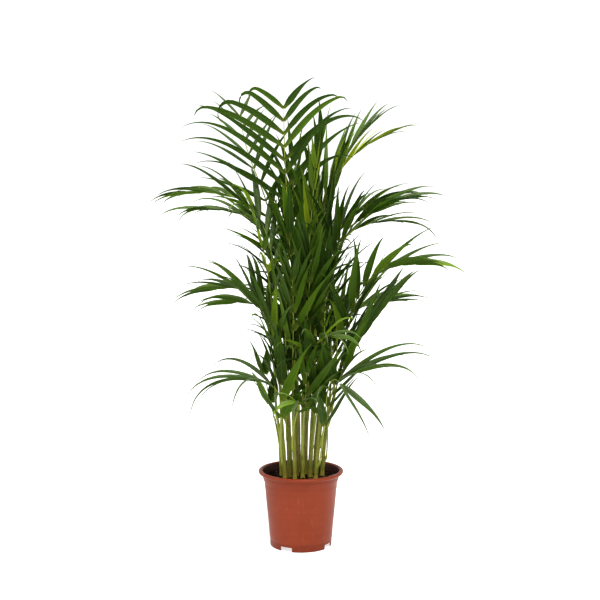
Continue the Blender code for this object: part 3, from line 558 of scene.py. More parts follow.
def spline(pts, t):
    """Point on a smooth curve through pts, t from 0 to 1."""
    n = len(pts) - 1
    x = min(max(t, 0.0), 1.0) * n
    i = min(int(x), n - 1)
    u = x - i
    p0, p1, p2, p3 = pts[max(i - 1, 0)], pts[i], pts[i + 1], pts[min(i + 2, n)]
    return 0.5 * ((2 * p1) + (p2 - p0) * u + (2 * p0 - 5 * p1 + 4 * p2 - p3) * u * u
                  + (3 * p1 - p0 - 3 * p2 + p3) * u * u * u)


def smooth(a, b, x):
    t = min(max((x - a) / (b - a), 0.0), 1.0)
    return t * t * (3 - 2 * t)


# --------------------------------------------------------------- leaflets
ACROSS = (-1.0, -0.55, 0.0, 0.55, 1.0)


# leaves drawn darker throughout, and how light their leaflets still are
DEEP = {"frond_drooping_right": 0.55, "frond_low_left": 0.55, "frond_crown_left": 0.74}


def crook(lf):
    """Where the limp tip of a crown leaflet starts to hang over, and how far
    it turns. Other leaflets keep the curve that they grew with."""
    if lf.rac.f["name"] != "frond_crown_left" or lf.s < 0.84:
        return 1.0, 0.0
    if lf.pts[-1].x < lf.pts[0].x:
        return (0.64, 2.9) if lf.s > 0.88 else (0.80, 1.9)
    return (0.84, 2.2) if lf.s < 0.95 else (1.0, 0.0)


def add_leaflet(skin, lf, tone):
    """Fine blade of one leaflet: ridged along its midrib, thin to its edges,
    narrow where it joins the stalk, and drawn out to a fine tip."""
    h = lf.habit
    rnd = Random(int(h["shade"] * 1e6) + h["i"])
    n = 18
    rings, vs, ss = [], [], []
    foot = lf.rac.foot()
    ripple, phase = rnd.uniform(0.1, 0.5) * MM, rnd.uniform(0, 6.28)
    taper = rnd.uniform(0.22, 0.52)
    side = h["side"]
    inward = (lf.pts[0] - lf.dirs[0] * (0.9 * MM))
    bend, turn = crook(lf)
    reach = sum((b - a).length for a, b in zip(lf.pts, lf.pts[1:]))
    if turn > 0:
        taper = 0.0
    for k in range(n + 1):
        s = (k / n) ** 0.92
        p = spline(lf.pts, s)
        d = (spline(lf.pts, min(1.0, s + 0.02)) - spline(lf.pts, max(0.0, s - 0.02))).normalized()
        w = spline(lf.wid, min(s, bend))
        if s > bend and turn > 0:
            start = (spline(lf.pts, bend) - spline(lf.pts, bend - 0.02)).normalized()
            down = (Vector((0, 0, -1)) + start * start.z).normalized()
            a = turn * (s - bend) / (1 - bend)
            r = reach * (1 - bend) / turn
            p = spline(lf.pts, bend) + start * (r * sin(a)) + down * (r * (1 - cos(a)))
            d = (start * cos(a) + down * sin(a)).normalized()
        w = (w - d * w.dot(d)).normalized()
        join = 1 - smooth(0.0, 0.11, s)
        if k == 0:
            p = inward
        if join > 0:
            t = (lf.T - d * lf.T.dot(d))
            if t.length > 1e-6:
                w = (w * (1 - join) + t.normalized() * join).normalized()
        m = w.cross(d).normalized() * side
        blade = lf.breadth(s) * 0.5 * (1 - taper * smooth(0.38, 0.86, s))
        half = max(mix(blade, foot * 0.85, join), 0.12 * MM * (1 - s) + 0.03 * MM)
        fold = half * mix(0.38, 0.5, join) * (1 - 0.5 * s)
        wave = ripple * sin(phase + s * 17.0) * smooth(0.1, 0.4, s) * (1 - s)
        ring = []
        for u in ACROSS:
            lift = -fold * abs(u) + wave * u
            thick = (0.17 * MM * (1 - u * u) + 0.03 * MM) * (1 - 0.6 * s)
            if u == 0.0:
                thick += 0.16 * MM * (1 - s)
            ring.append(p + w * (u * half) + m * (lift + (thick if abs(u) < 1 else 0.0)))
        for u in ACROSS[3:0:-1]:
            lift = -fold * abs(u) + wave * u
            thick = (0.17 * MM * (1 - u * u) + 0.03 * MM) * (1 - 0.6 * s)
            ring.append(p + w * (u * half) + m * (lift - thick))
        rings.append(ring)
        vs.append(s)
        ss.append(s)
    ids = [skin.ring(r) for r in rings]
    us = [(u + 1) * 0.5 for u in ACROSS] + [(u + 1) * 0.5 for u in ACROSS[3:0:-1]]
    dry = 1.0 if rnd.random() < 0.16 else 0.0
    light = h["shade"] * DEEP.get(lf.rac.f["name"], 1.0)
    c = lambda s, under: (tone, s, under, light * 0.49 + 0.5 * dry)
    flip = side < 0
    for k in range(n):
        a, b = ids[k], ids[k + 1]
        for q in range(8):
            r = (q + 1) % 8
            under = 0.0 if q < 4 else 1.0
            u0, u1 = us[q], us[r]
            f = [a[q], a[r], b[r], b[q]]
            uv = [(u0, vs[k]), (u1, vs[k]), (u1, vs[k + 1]), (u0, vs[k + 1])]
            cc = [c(ss[k], under), c(ss[k], under), c(ss[k + 1], under), c(ss[k + 1], under)]
            if flip:
                f, uv, cc = f[::-1], uv[::-1], cc[::-1]
            skin.face(tuple(f), uv, cc, 0)
    a, b = ids[0], ids[-1]
    ends = (tuple(reversed(a)), tuple(b)) if not flip else (tuple(a), tuple(reversed(b)))
    for f, s in zip(ends, (0.0, 1.0)):
        skin.face(f, [(0.5, s)] * 8, [c(s, 0.0)] * 8, 0)


# ----------------------------------------------------- stalks with sheaths
def add_stalk(skin, rac, last, tone):
    """Tubular sheath round the stem, then the stalk and midrib to the tip."""
    f = rac.f
    key = f["stem"]
    z0 = min(f["at"] * MM, STEMS[key][4] * MM)
    stations = []
    base, T0, S0, N0 = rac.at(0.0)
    length = min(46 * MM, z0 - SOIL_Z - 2 * MM)
    rnd = Random(f["seed"])
    steps = 9
    for k in range(steps):
        t = k / (steps - 1)
        z = z0 - length * (1 - t)
        axis, r = stem_point(key, z)
        a, _ = stem_point(key, z - 3 * MM)
        b, _ = stem_point(key, z + 3 * MM)
        d = (b - a).normalized()
        s = (S0 - d * S0.dot(d)).normalized()
        nn = d.cross(s)
        grow = r * (1.03 + 0.17 * smooth(0.0, 0.7, t)) + 0.15 * MM
        toward = (base - axis)
        toward = toward - d * toward.dot(d)
        stations.append((axis + toward * (0.12 * smooth(0.5, 1.0, t)), s * grow, nn * grow, 0.0, 1.0))
    n = 46
    r0 = stem_point(key, z0)[1]
    top = z0 >= STEMS[key][4] * MM - 0.5 * MM
    for k in range(1, n + 1):
        s = last * k / n
        p, T, S, N = rac.at(s)
        hw, ht = rac.half(s)
        e = 1 - smooth(0.0, 0.075, s)
        pull = 0.0 if top else 1 - smooth(0.0, 0.05, s)
        axis = stem_point(key, min(p.z, STEMS[key][4] * MM))[0]
        off = (axis - p)
        off = off - T * off.dot(T)
        hw = mix(hw, max(hw, r0 * 1.1), e)
        ht = mix(ht, max(ht, r0 * 1.1), e)
        slim = 1.0 if s < 0.9 * last else mix(1.0, 0.55, (s / last - 0.9) / 0.1)
        stations.append((p + off * pull * 0.5, S * hw * slim, N * ht * slim, s, e))
    sides = 12
    rings = []
    for c, a, b, s, e in stations:
        pts = []
        for q in range(sides):
            t = 2 * pi * q / sides
            ch = 1.0 - 0.22 * max(0.0, sin(t)) ** 3 * (1 - e)
            pts.append(c + a * cos(t) + b * sin(t) * ch)
        rings.append(skin.ring(pts))
    vs = []
    run = 0.0
    for k, st in enumerate(stations):
        if k:
            run += (st[0] - stations[k - 1][0]).length
        vs.append(run / 0.1)
    col = lambda k, q: (tone, stations[k][3], stations[k][4], rnd_shade)
    rnd_shade = rnd.random()
    skin.tube(rings, vs, col, 1)


def stalk_end(rac, leaflets):
    if not leaflets:
        return 1.0
    return max(lf.s for lf in leaflets) + 0.6 * rac.foot() / rac.length


def build_leaf(rac, leaflets, mats):
    f = rac.f
    skin = Skin()
    rnd = Random(f["seed"] + 500)
    for lf in leaflets:
        add_leaflet(skin, lf, min(1.0, max(0.0, f["tone"] * DEEP.get(f["name"], 1.0) + rnd.uniform(-0.06, 0.06))))
    add_stalk(skin, rac, stalk_end(rac, leaflets), f["tone"])
    ob = skin.object("leaf_" + f["name"][6:], mats)
    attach(ob, "root")
    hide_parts(f["name"])
    return ob


# ------------------------------------------------------------------ canes
def build_cane(key, mat):
    """Cane with a swollen foot, ring scars and a slight wander."""
    rnd = Random(ord(key) * 31)
    top = STEMS[key][4] * MM
    n = 64
    skin = Skin()
    rings, vs, info = [], [], []
    gap = rnd.uniform(17, 25) * MM
    first = SOIL_Z + rnd.uniform(6, 14) * MM
    z_lo = SOIL_Z - 7 * MM
    for k in range(n + 1):
        z = mix(z_lo, top, k / n)
        p, r = stem_point(key, z)
        a, _ = stem_point(key, z - 3 * MM)
        b, _ = stem_point(key, z + 3 * MM)
        d = (b - a).normalized()
        x = d.cross(Vector((0, 1, 0))).normalized()
        y = d.cross(x)
        ring = 0.0
        j = round((z - first) / gap)
        if j >= 0:
            ring = exp(-((z - first - j * gap) / (0.9 * MM)) ** 2)
        swell = 1 + 0.32 * exp(-max(0.0, z - SOIL_Z) / (9 * MM)) + 0.07 * ring
        close = 1.0 if k < n else 0.5
        pts = []
        for q in range(18):
            t = 2 * pi * q / 18
            lump = 1 + 0.035 * noise.noise(Vector((cos(t) * 1.2 + ord(key), sin(t) * 1.2, z * 55)))
            pts.append(p + (x * cos(t) + y * sin(t)) * (r * swell * lump * close))
        rings.append(skin.ring(pts))
        vs.append((z - z_lo) / 0.1)
        info.append((z, ring))
    shade = rnd.random()

    def col(k, q):
        z, ring = info[k]
        return (shade, ring, exp(-max(0.0, z - SOIL_Z) / (14 * MM)), 1.0)
    skin.tube(rings, vs, col)
    ob = skin.object("cane_" + key + "_fine", [mat])
    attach(ob, "root")
    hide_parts("cane_" + key)
    return ob


# -------------------------------------------------------------------- pot
def mm(points):
    return [(r * MM, z * MM) for r, z in points]


# Outline of the moulded wall, from the middle of the base plate's top, up the
# inside, over the curled rim, down the outside to the foot and back inside.
POT_LINE = mm([
    (0, 11.6), (20, 11.6), (40, 11.6), (53.6, 11.6), (55.2, 11.9), (55.9, 12.6), (56.1, 14.0),
    (57.0, 28), (58.3, 42), (60.4, 64), (62.5, 86), (64.2, 105.6), (64.8, 107.6), (65.1, 115), (66.1, 119.6),
    (67.5, 124), (69.2, 131.5), (70.6, 138.0), (71.1, 139.5), (71.9, 140.1),
    (72.8, 140.3), (75.0, 140.25), (76.5, 139.9), (77.5, 139.0), (77.8, 137.7), (77.7, 136.4),
    (77.0, 135.2), (75.8, 134.1), (74.2, 132.9), (73.2, 132.2), (72.6, 131.9), (72.25, 132.1), (72.2, 132.6), (72.6, 133.2),
    (73.8, 134.2), (75.3, 135.4), (76.1, 136.6), (76.2, 137.7), (75.6, 138.4), (74.4, 138.7), (73.1, 138.6), (72.4, 138.0),
    (71.4, 133.6), (70.35, 129.0), (69.5, 125.6), (68.6, 122.4), (67.4, 119.0), (66.8, 116.6), (66.6, 115.2), (66.45, 112.2), (66.4, 109.4), (66.3, 108.3),
    (65.95, 107.5), (65.75, 106.6), (65.4, 103), (64.0, 86), (61.9, 64), (59.8, 42), (58.6, 28.5),
    (57.75, 16.6), (57.55, 15.4), (57.15, 14.8), (57.05, 14.0), (56.7, 7), (56.5, 1.0), (56.3, 0.3), (55.8, 0.0),
    (55.3, 0.0), (54.95, 0.3), (55.0, 1.0), (55.3, 5.0), (55.6, 9.2), (55.2, 10.0), (52, 10.0), (40, 10.0), (20, 10.0), (0, 10.0)])


def build_pot(mat):
    steps = 180
    bm = bmesh.new()
    cols = []
    for k in range(steps):
        a = 2 * pi * k / steps
        col = []
        for i, (r, z) in enumerate(POT_LINE):
            if r == 0:
                col.append(None)
                continue
            col.append(bm.verts.new((r * cos(a), r * sin(a), z)))
        cols.append(col)
    top, low = bm.verts.new((0, 0, POT_LINE[0][1])), bm.verts.new((0, 0, POT_LINE[-1][1]))
    last = len(POT_LINE) - 1
    for k in range(steps):
        a, b = cols[k], cols[(k + 1) % steps]
        bm.faces.new((top, a[1], b[1]))
        for i in range(1, last - 1):
            bm.faces.new((a[i], a[i + 1], b[i + 1], b[i]))
        bm.faces.new((a[last - 1], low, b[last - 1]))
    me = bpy.data.meshes.new("pot_fine")
    bm.to_mesh(me)
    bm.free()
    ob = bpy.data.objects.new("pot_fine", me)
    bpy.context.scene.collection.objects.link(ob)
    cutter = notch_cutter()
    mod = ob.modifiers.new("Notches", "BOOLEAN")
    mod.operation = "DIFFERENCE"
    mod.object = cutter
    dg = bpy.context.evaluated_depsgraph_get()
    cut = bpy.data.meshes.new_from_object(ob.evaluated_get(dg))
    ob.modifiers.clear()
    ob.data = cut
    bpy.data.objects.remove(cutter, do_unlink=True)
    cut.polygons.foreach_set("use_smooth", [True] * len(cut.polygons))
    cut.set_sharp_from_angle(angle=radians(38))
    cut.materials.clear()
    cut.materials.append(mat)
    ob.name = "pot_fine"
    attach(ob, "root")
    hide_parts("pot")
    return ob


def notch_cutter():
    """Rounded blocks through the foot wall, and rods through the base plate."""
    bm = bmesh.new()
    for az in NOTCH_AZ:
        turn = Matrix.Rotation(radians(az), 4, "Z")
        w, h, rad, n = NOTCH_W * 0.5, NOTCH_H, 1.6 * MM, 5
        line = [(-w, -2 * MM), (w, -2 * MM)]
        for k in range(n + 1):
            t = 0.5 * pi * k / n
            line.append((w - rad + rad * cos(t), h - rad + rad * sin(t)))
        for k in range(n + 1):
            t = 0.5 * pi + 0.5 * pi * k / n
            line.append((-w + rad + rad * cos(t), h - rad + rad * sin(t)))
        near = [bm.verts.new(turn @ Vector((50 * MM, y, z))) for y, z in line]
        far = [bm.verts.new(turn @ Vector((62 * MM, y, z))) for y, z in line]
        m = len(line)
        for k in range(m):
            j = (k + 1) % m
            bm.faces.new((near[k], far[k], far[j], near[j]))
        bm.faces.new(near)
        bm.faces.new(list(reversed(far)))
    for k in range(HOLES):
        a = 2 * pi * (k + 0.25) / HOLES
        at = Matrix.Translation((HOLE_RING * cos(a), HOLE_RING * sin(a), PLATE_Z + 0.8 * MM))
        bmesh.ops.create_cone(bm, cap_ends=True, segments=40, radius1=HOLE_R,
                              radius2=HOLE_R, depth=6 * MM, matrix=at)
    bmesh.ops.recalc_face_normals(bm, faces=bm.faces)
    me = bpy.data.meshes.new("notches")
    bm.to_mesh(me)
    bm.free()
    ob = bpy.data.objects.new("notches", me)
    bpy.context.scene.collection.objects.link(ob)
    return ob


# ------------------------------------------------------------------- soil
def soil_height(x, y):
    r = sqrt(x * x + y * y)
    base = mix(SOIL_Z, SOIL_EDGE_Z, smooth(40 * MM, 68 * MM, r))
    p = Vector((x, y, 0.0)) / MM
    h = 1.1 * noise.noise(p * 0.045) + 0.8 * noise.noise(p * 0.13 + Vector((7, 3, 1)))
    h += 0.5 * abs(noise.noise(p * 0.33 + Vector((1, 9, 4)))) + 0.28 * noise.noise(p * 0.8)
    return base + (h - 0.5) * 0.9 * MM


def build_soil(mat, bark):
    """Crumbly top of the compost, closed below like the inside of the pot."""
    skin = Skin()
    rings, n, m = [], 150, 48
    r_edge = 68.3 * MM
    for k in range(m + 1):
        r = r_edge * ((k + 0.5) / (m + 0.5))
        pts = []
        for q in range(n):
            a = 2 * pi * q / n
            x, y = r * cos(a), r * sin(a)
            pts.append(Vector((x, y, soil_height(x, y))))
        rings.append(skin.ring(pts))
    for r, z in ((67.2, 124), (65.0, 117), (64.4, 107), (62.2, 86), (58.0, 42), (55.8, 13.2), (53.4, 11.8)):
        rings.append(skin.ring([Vector((r * MM * cos(2 * pi * q / n), r * MM * sin(2 * pi * q / n), z * MM)) for q in range(n)]))
    skin.tube(rings, [k / len(rings) for k in range(len(rings))], lambda k, q: (0.5, 0, 0, 1))
    ob = skin.object("potting_soil_fine", [mat], 80)
    for s in ob.data.polygons:
        s.use_smooth = True
    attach(ob, "root")
    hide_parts("potting_soil")
    bits(mat, bark)
    return ob


def bits(mat, bark):
    """Crumbs of peat and slivers of bark lying on the compost."""
    rnd = Random(5)
    feet = [(STEMS[k][0] * MM, STEMS[k][1] * MM, STEMS[k][5] * MM) for k in STEMS]
    crumbs, slivers = Skin(), Skin()
    done = 0
    while done < 620:
        r, a = 66 * MM * sqrt(rnd.random()), rnd.uniform(0, 2 * pi)
        x, y = r * cos(a), r * sin(a)
        if any((x - fx) ** 2 + (y - fy) ** 2 < (fr + 1.2 * MM) ** 2 for fx, fy, fr in feet):
            continue
        done += 1
        size = rnd.choice((0.7, 0.9, 1.2, 1.6, 2.3)) * MM
        c = Vector((x, y, soil_height(x, y) + size * 0.25))
        rot = Matrix.Rotation(rnd.uniform(0, 6.28), 3, "Z") @ Matrix.Rotation(rnd.uniform(-0.5, 0.5), 3, "X")
        if done % 6 == 0:
            lump(slivers, c, rot, (size * rnd.uniform(2.2, 4.0), size * 0.55, size * 0.3), rnd, rnd.random())
        else:
            lump(crumbs, c, rot, (size, size * rnd.uniform(0.6, 0.95), size * rnd.uniform(0.5, 0.8)), rnd, rnd.random())
    for skin, name, m in ((crumbs, "compost_crumbs", mat), (slivers, "bark_slivers", bark)):
        ob = skin.object(name, [m], 60)
        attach(ob, "root")


def lump(skin, c, rot, size, rnd, shade):
    """One uneven grain, eight-sided."""
    rings = []
    for k, (h, w) in enumerate(((-0.9, 0.45), (-0.35, 0.95), (0.3, 1.0), (0.85, 0.5))):
        pts = []
        for q in range(7):
            t = 2 * pi * q / 7
            g = w * rnd.uniform(0.75, 1.15)
            pts.append(c + rot @ Vector((size[0] * h, size[1] * g * cos(t), size[2] * g * sin(t))))
        rings.append(skin.ring(pts))
    skin.tube(rings, [0, 0.3, 0.6, 1], lambda k, q: (shade, 0, 0, 1))


# -------------------------------------------------------------- materials
class Nodes:
    """Small helper to wire a Principled material."""

    def __init__(self, name):
        self.m = bpy.data.materials.new(name)
        self.m.use_nodes = True
        self.t = self.m.node_tree
        self.b = self.t.nodes["Principled BSDF"]

    def new(self, kind, **props):
        n = self.t.nodes.new(kind)
        for k, v in props.items():
            setattr(n, k, v)
        return n

    def link(self, a, b):
        self.t.links.new(a, b)

    def put(self, node, key, val):
        if isinstance(val, (int, float, tuple, list)):
            node.inputs[key].default_value = val
        else:
            self.link(val, node.inputs[key])

    def math(self, op, a, b=0.0, c=None, clamp=False):
        n = self.new("ShaderNodeMath", operation=op, use_clamp=clamp)
        self.put(n, 0, a)
        self.put(n, 1, b)
        if c is not None:
            self.put(n, 2, c)
        return n.outputs[0]

    def ramp(self, x, stops, mode="EASE"):
        n = self.new("ShaderNodeValToRGB")
        n.color_ramp.interpolation = mode
        e = n.color_ramp.elements
        while len(e) < len(stops):
            e.new(0.5)
        for s, (p, c) in zip(e, stops):
            s.position = p
            s.color = (*c, 1.0) if isinstance(c, tuple) else (c, c, c, 1.0)
        self.link(x, n.inputs[0])
        return n.outputs[0]

    def rangefit(self, x, a, b, lo, hi):
        n = self.new("ShaderNodeMapRange")
        self.put(n, 0, x)
        for k, v in zip((1, 2, 3, 4), (a, b, lo, hi)):
            self.put(n, k, v)
        return n.outputs[0]

    def mixc(self, fac, a, b, mode="MIX"):
        n = self.new("ShaderNodeMix", data_type="RGBA", blend_type=mode)
        self.put(n, 0, fac)
        for k, v in ((6, a), (7, b)):
            if isinstance(v, tuple) and len(v) == 3:
                v = (*v, 1.0)
            self.put(n, k, v)
        return n.outputs[2]

    def noise(self, vec, scale, detail=3.0, rough=0.55, kind="FBM"):
        n = self.new("ShaderNodeTexNoise")
        if vec is not None:
            self.link(vec, n.inputs["Vector"])
        n.inputs["Scale"].default_value = scale
        n.inputs["Detail"].default_value = detail
        n.inputs["Roughness"].default_value = rough
        return n.outputs[0]

    def stretch(self, vec, scale):
        n = self.new("ShaderNodeMapping")
        self.link(vec, n.inputs[0])
        n.inputs["Scale"].default_value = scale
        return n.outputs[0]

    def bump(self, height, strength, dist, normal=None):
        n = self.new("ShaderNodeBump")
        n.inputs["Strength"].default_value = strength
        n.inputs["Distance"].default_value = dist
        self.link(height, n.inputs["Height"])
        if normal is not None:
            self.link(normal, n.inputs["Normal"])
        return n.outputs[0]

    def tint(self):
        a = self.new("ShaderNodeVertexColor", layer_name="tint")
        s = self.new("ShaderNodeSeparateColor")
        self.link(a.outputs[0], s.inputs[0])
        return s.outputs[0], s.outputs[1], s.outputs[2], a.outputs[1]


def leaflet_material():
    k = Nodes("palm_leaflet")
    tone, along, under, extra = k.tint()
    uv = k.new("ShaderNodeUVMap", uv_map="UVMap").outputs[0]
    xyz = k.new("ShaderNodeSeparateXYZ")
    k.link(uv, xyz.inputs[0])
    u = xyz.outputs[0]
    obj = k.new("ShaderNodeTexCoord").outputs["Object"]
    dry = k.math("GREATER_THAN", extra, 0.5)
    shade = k.math("MULTIPLY", k.math("SUBTRACT", extra, k.math("MULTIPLY", dry, 0.5)), 2.0)
    base = k.ramp(tone, [(0.0, (0.0155, 0.041, 0.0010)), (0.35, (0.0265, 0.062, 0.0014)),
                         (0.7, (0.070, 0.132, 0.0035)), (1.0, (0.20, 0.27, 0.014))], "LINEAR")
    # slow patches of lighter and darker green over each leaf
    patch = k.noise(obj, 26.0, 3.0, 0.6)
    base = k.mixc(k.rangefit(patch, 0.3, 0.7, 0.0, 0.55), base, k.mixc(1.0, base, (0.66, 0.72, 0.6), "MULTIPLY"))
    base = k.mixc(k.rangefit(shade, 0.0, 0.55, 1.0, 0.0), base, k.mixc(1.0, base, (0.40, 0.48, 0.5), "MULTIPLY"))
    base = k.mixc(k.rangefit(shade, 0.5, 0.95, 0.0, 1.0), base, k.mixc(1.0, base, (3.2, 2.6, 1.8), "MULTIPLY"))
    # long streaks between the veins
    streak = k.noise(k.stretch(uv, (38.0, 1.6, 1.0)), 1.0, 2.0, 0.5)
    base = k.mixc(k.rangefit(streak, 0.35, 0.68, 0.0, 0.4), base, k.mixc(1.0, base, (1.35, 1.28, 1.1), "MULTIPLY"))
    pleat = k.noise(k.stretch(uv, (5.5, 0.7, 1.0)), 1.0, 1.0, 0.5)
    base = k.mixc(k.rangefit(pleat, 0.42, 0.66, 0.0, 0.6), base, k.mixc(1.0, base, (0.62, 0.66, 0.7), "MULTIPLY"))
    base = k.mixc(k.rangefit(pleat, 0.5, 0.34, 0.0, 0.55), base, k.mixc(1.0, base, (1.55, 1.42, 1.2), "MULTIPLY"))
    # midrib and margins
    off = k.math("ABSOLUTE", k.math("SUBTRACT", u, 0.5))
    mid = k.ramp(off, [(0.0, 1.0), (0.035, 0.75), (0.075, 0.0)], "LINEAR")
    base = k.mixc(k.math("MULTIPLY", mid, 0.62), base, (0.075, 0.125, 0.016))
    rib = k.ramp(off, [(0.205, 0.0), (0.235, 1.0), (0.265, 0.0)], "LINEAR")
    base = k.mixc(k.math("MULTIPLY", rib, 0.3), base, (0.075, 0.125, 0.016))
    edge = k.ramp(off, [(0.44, 0.0), (0.5, 1.0)], "LINEAR")
    base = k.mixc(k.math("MULTIPLY", edge, 0.25), base, (0.05, 0.09, 0.012))
    # paler, greyer lower face
    pale = k.mixc(0.36, base, (0.052, 0.090, 0.018))
    base = k.mixc(under, base, pale)
    # yellow at the joint, brown at a few tips
    foot = k.ramp(along, [(0.0, 1.0), (0.05, 0.6), (0.14, 0.0)], "EASE")
    base = k.mixc(k.math("MULTIPLY", foot, 0.7), base, (0.10, 0.13, 0.018))
    tipn = k.math("ADD", along, k.math("MULTIPLY", k.math("SUBTRACT", k.noise(obj, 220.0), 0.5), 0.08))
    tip = k.math("MULTIPLY", k.rangefit(tipn, 0.9, 0.95, 0.0, 1.0), dry)
    base = k.mixc(k.math("MULTIPLY", tip, 0.85), base, (0.13, 0.075, 0.03))
    # pale painted sheen where the blade faces up, standing in for its reflection of the light above
    way = k.new("ShaderNodeSeparateXYZ")
    k.link(k.new("ShaderNodeNewGeometry").outputs["Normal"], way.inputs[0])
    painted_sheen = k.math("MULTIPLY", k.rangefit(way.outputs[2], 0.2, 0.85, 0.0, 0.6), k.rangefit(patch, 0.3, 0.65, 0.55, 1.0))
    base = k.mixc(k.math("MULTIPLY", painted_sheen, k.math("SUBTRACT", 1.0, under)), base, (0.135, 0.172, 0.090))
    k.link(base, k.b.inputs["Base Color"])
    rough = k.rangefit(k.noise(obj, 90.0, 2.0), 0.3, 0.7, 0.30, 0.45)
    rough = k.math("ADD", rough, k.math("MULTIPLY", under, 0.12))
    k.link(k.math("ADD", rough, k.math("MULTIPLY", tip, 0.3)), k.b.inputs["Roughness"])
    veins = k.math("SINE", k.math("MULTIPLY", u, 2 * pi * 11.0))
    height = k.math("ADD", k.math("MULTIPLY", veins, 0.5), k.math("MULTIPLY", mid, 1.6))
    n1 = k.bump(height, 0.35, 0.00012)
    cells = k.noise(k.stretch(uv, (60.0, 18.0, 1.0)), 1.0, 3.0)
    k.link(k.bump(cells, 0.25, 0.00012, n1), k.b.inputs["Normal"])
    k.b.inputs["Subsurface Weight"].default_value = 0.1
    k.b.inputs["Subsurface Radius"].default_value = (0.55, 1.0, 0.18)
    k.b.inputs["Subsurface Scale"].default_value = 0.0012
    k.b.inputs["Specular IOR Level"].default_value = 0.07
    return k.m


def stalk_material():
    k = Nodes("palm_stalk")
    tone, along, sheath, shade = k.tint()
    obj = k.new("ShaderNodeTexCoord").outputs["Object"]
    uv = k.new("ShaderNodeUVMap", uv_map="UVMap").outputs[0]
    base = k.ramp(tone, [(0.0, (0.27, 0.315, 0.045)), (0.6, (0.30, 0.345, 0.050)), (1.0, (0.34, 0.39, 0.060))], "LINEAR")
    green = k.mixc(0.25, base, (0.10, 0.18, 0.016))
    base = k.mixc(k.rangefit(along, 0.1, 0.6, 0.0, 1.0), base, green)
    fibre = k.noise(k.stretch(uv, (26.0, 1.4, 1.0)), 1.0, 4.0, 0.6)
    base = k.mixc(k.rangefit(fibre, 0.3, 0.7, 0.0, 0.75), base, k.mixc(1.0, base, (0.48, 0.5, 0.4), "MULTIPLY"))
    yellow = k.mixc(k.rangefit(k.noise(obj, 38.0, 3.0), 0.35, 0.65, 0.0, 1.0), (0.215, 0.190, 0.030), (0.125, 0.135, 0.016))
    base = k.mixc(k.math("MULTIPLY", sheath, 0.75), base, yellow)
    specks = k.rangefit(k.noise(obj, 900.0, 1.0), 0.68, 0.76, 0.0, 0.55)
    base = k.mixc(specks, base, (0.12, 0.085, 0.03))
    k.link(base, k.b.inputs["Base Color"])
    k.link(k.rangefit(fibre, 0.3, 0.7, 0.36, 0.5), k.b.inputs["Roughness"])
    k.link(k.bump(fibre, 0.35, 0.0003), k.b.inputs["Normal"])
    k.b.inputs["Specular IOR Level"].default_value = 0.3
    k.b.inputs["Subsurface Weight"].default_value = 0.08
    k.b.inputs["Subsurface Radius"].default_value = (0.7, 1.0, 0.2)
    k.b.inputs["Subsurface Scale"].default_value = 0.001
    return k.m


def cane_material():
    k = Nodes("palm_cane")
    shade, ring, foot, _ = k.tint()
    obj = k.new("ShaderNodeTexCoord").outputs["Object"]
    uv = k.new("ShaderNodeUVMap", uv_map="UVMap").outputs[0]
    base = k.mixc(shade, (0.195, 0.178, 0.024), (0.275, 0.222, 0.036))
    fibre = k.noise(k.stretch(uv, (22.0, 1.8, 1.0)), 1.0, 4.0, 0.6)
    base = k.mixc(k.rangefit(fibre, 0.3, 0.7, 0.0, 0.7), base, (0.135, 0.13, 0.015))
    tan = k.rangefit(k.noise(k.stretch(obj, (60.0, 60.0, 14.0)), 1.0, 3.0), 0.5, 0.68, 0.0, 0.7)
    base = k.mixc(tan, base, (0.25, 0.16, 0.05))
    base = k.mixc(k.math("MULTIPLY", ring, 0.75), base, (0.11, 0.075, 0.025))
    base = k.mixc(k.math("MULTIPLY", foot, 0.35), base, (0.36, 0.31, 0.055))
    k.link(base, k.b.inputs["Base Color"])
    k.link(k.rangefit(fibre, 0.3, 0.7, 0.38, 0.58), k.b.inputs["Roughness"])
    k.link(k.bump(fibre, 0.45, 0.0004), k.b.inputs["Normal"])
    k.b.inputs["Specular IOR Level"].default_value = 0.3
    return k.m


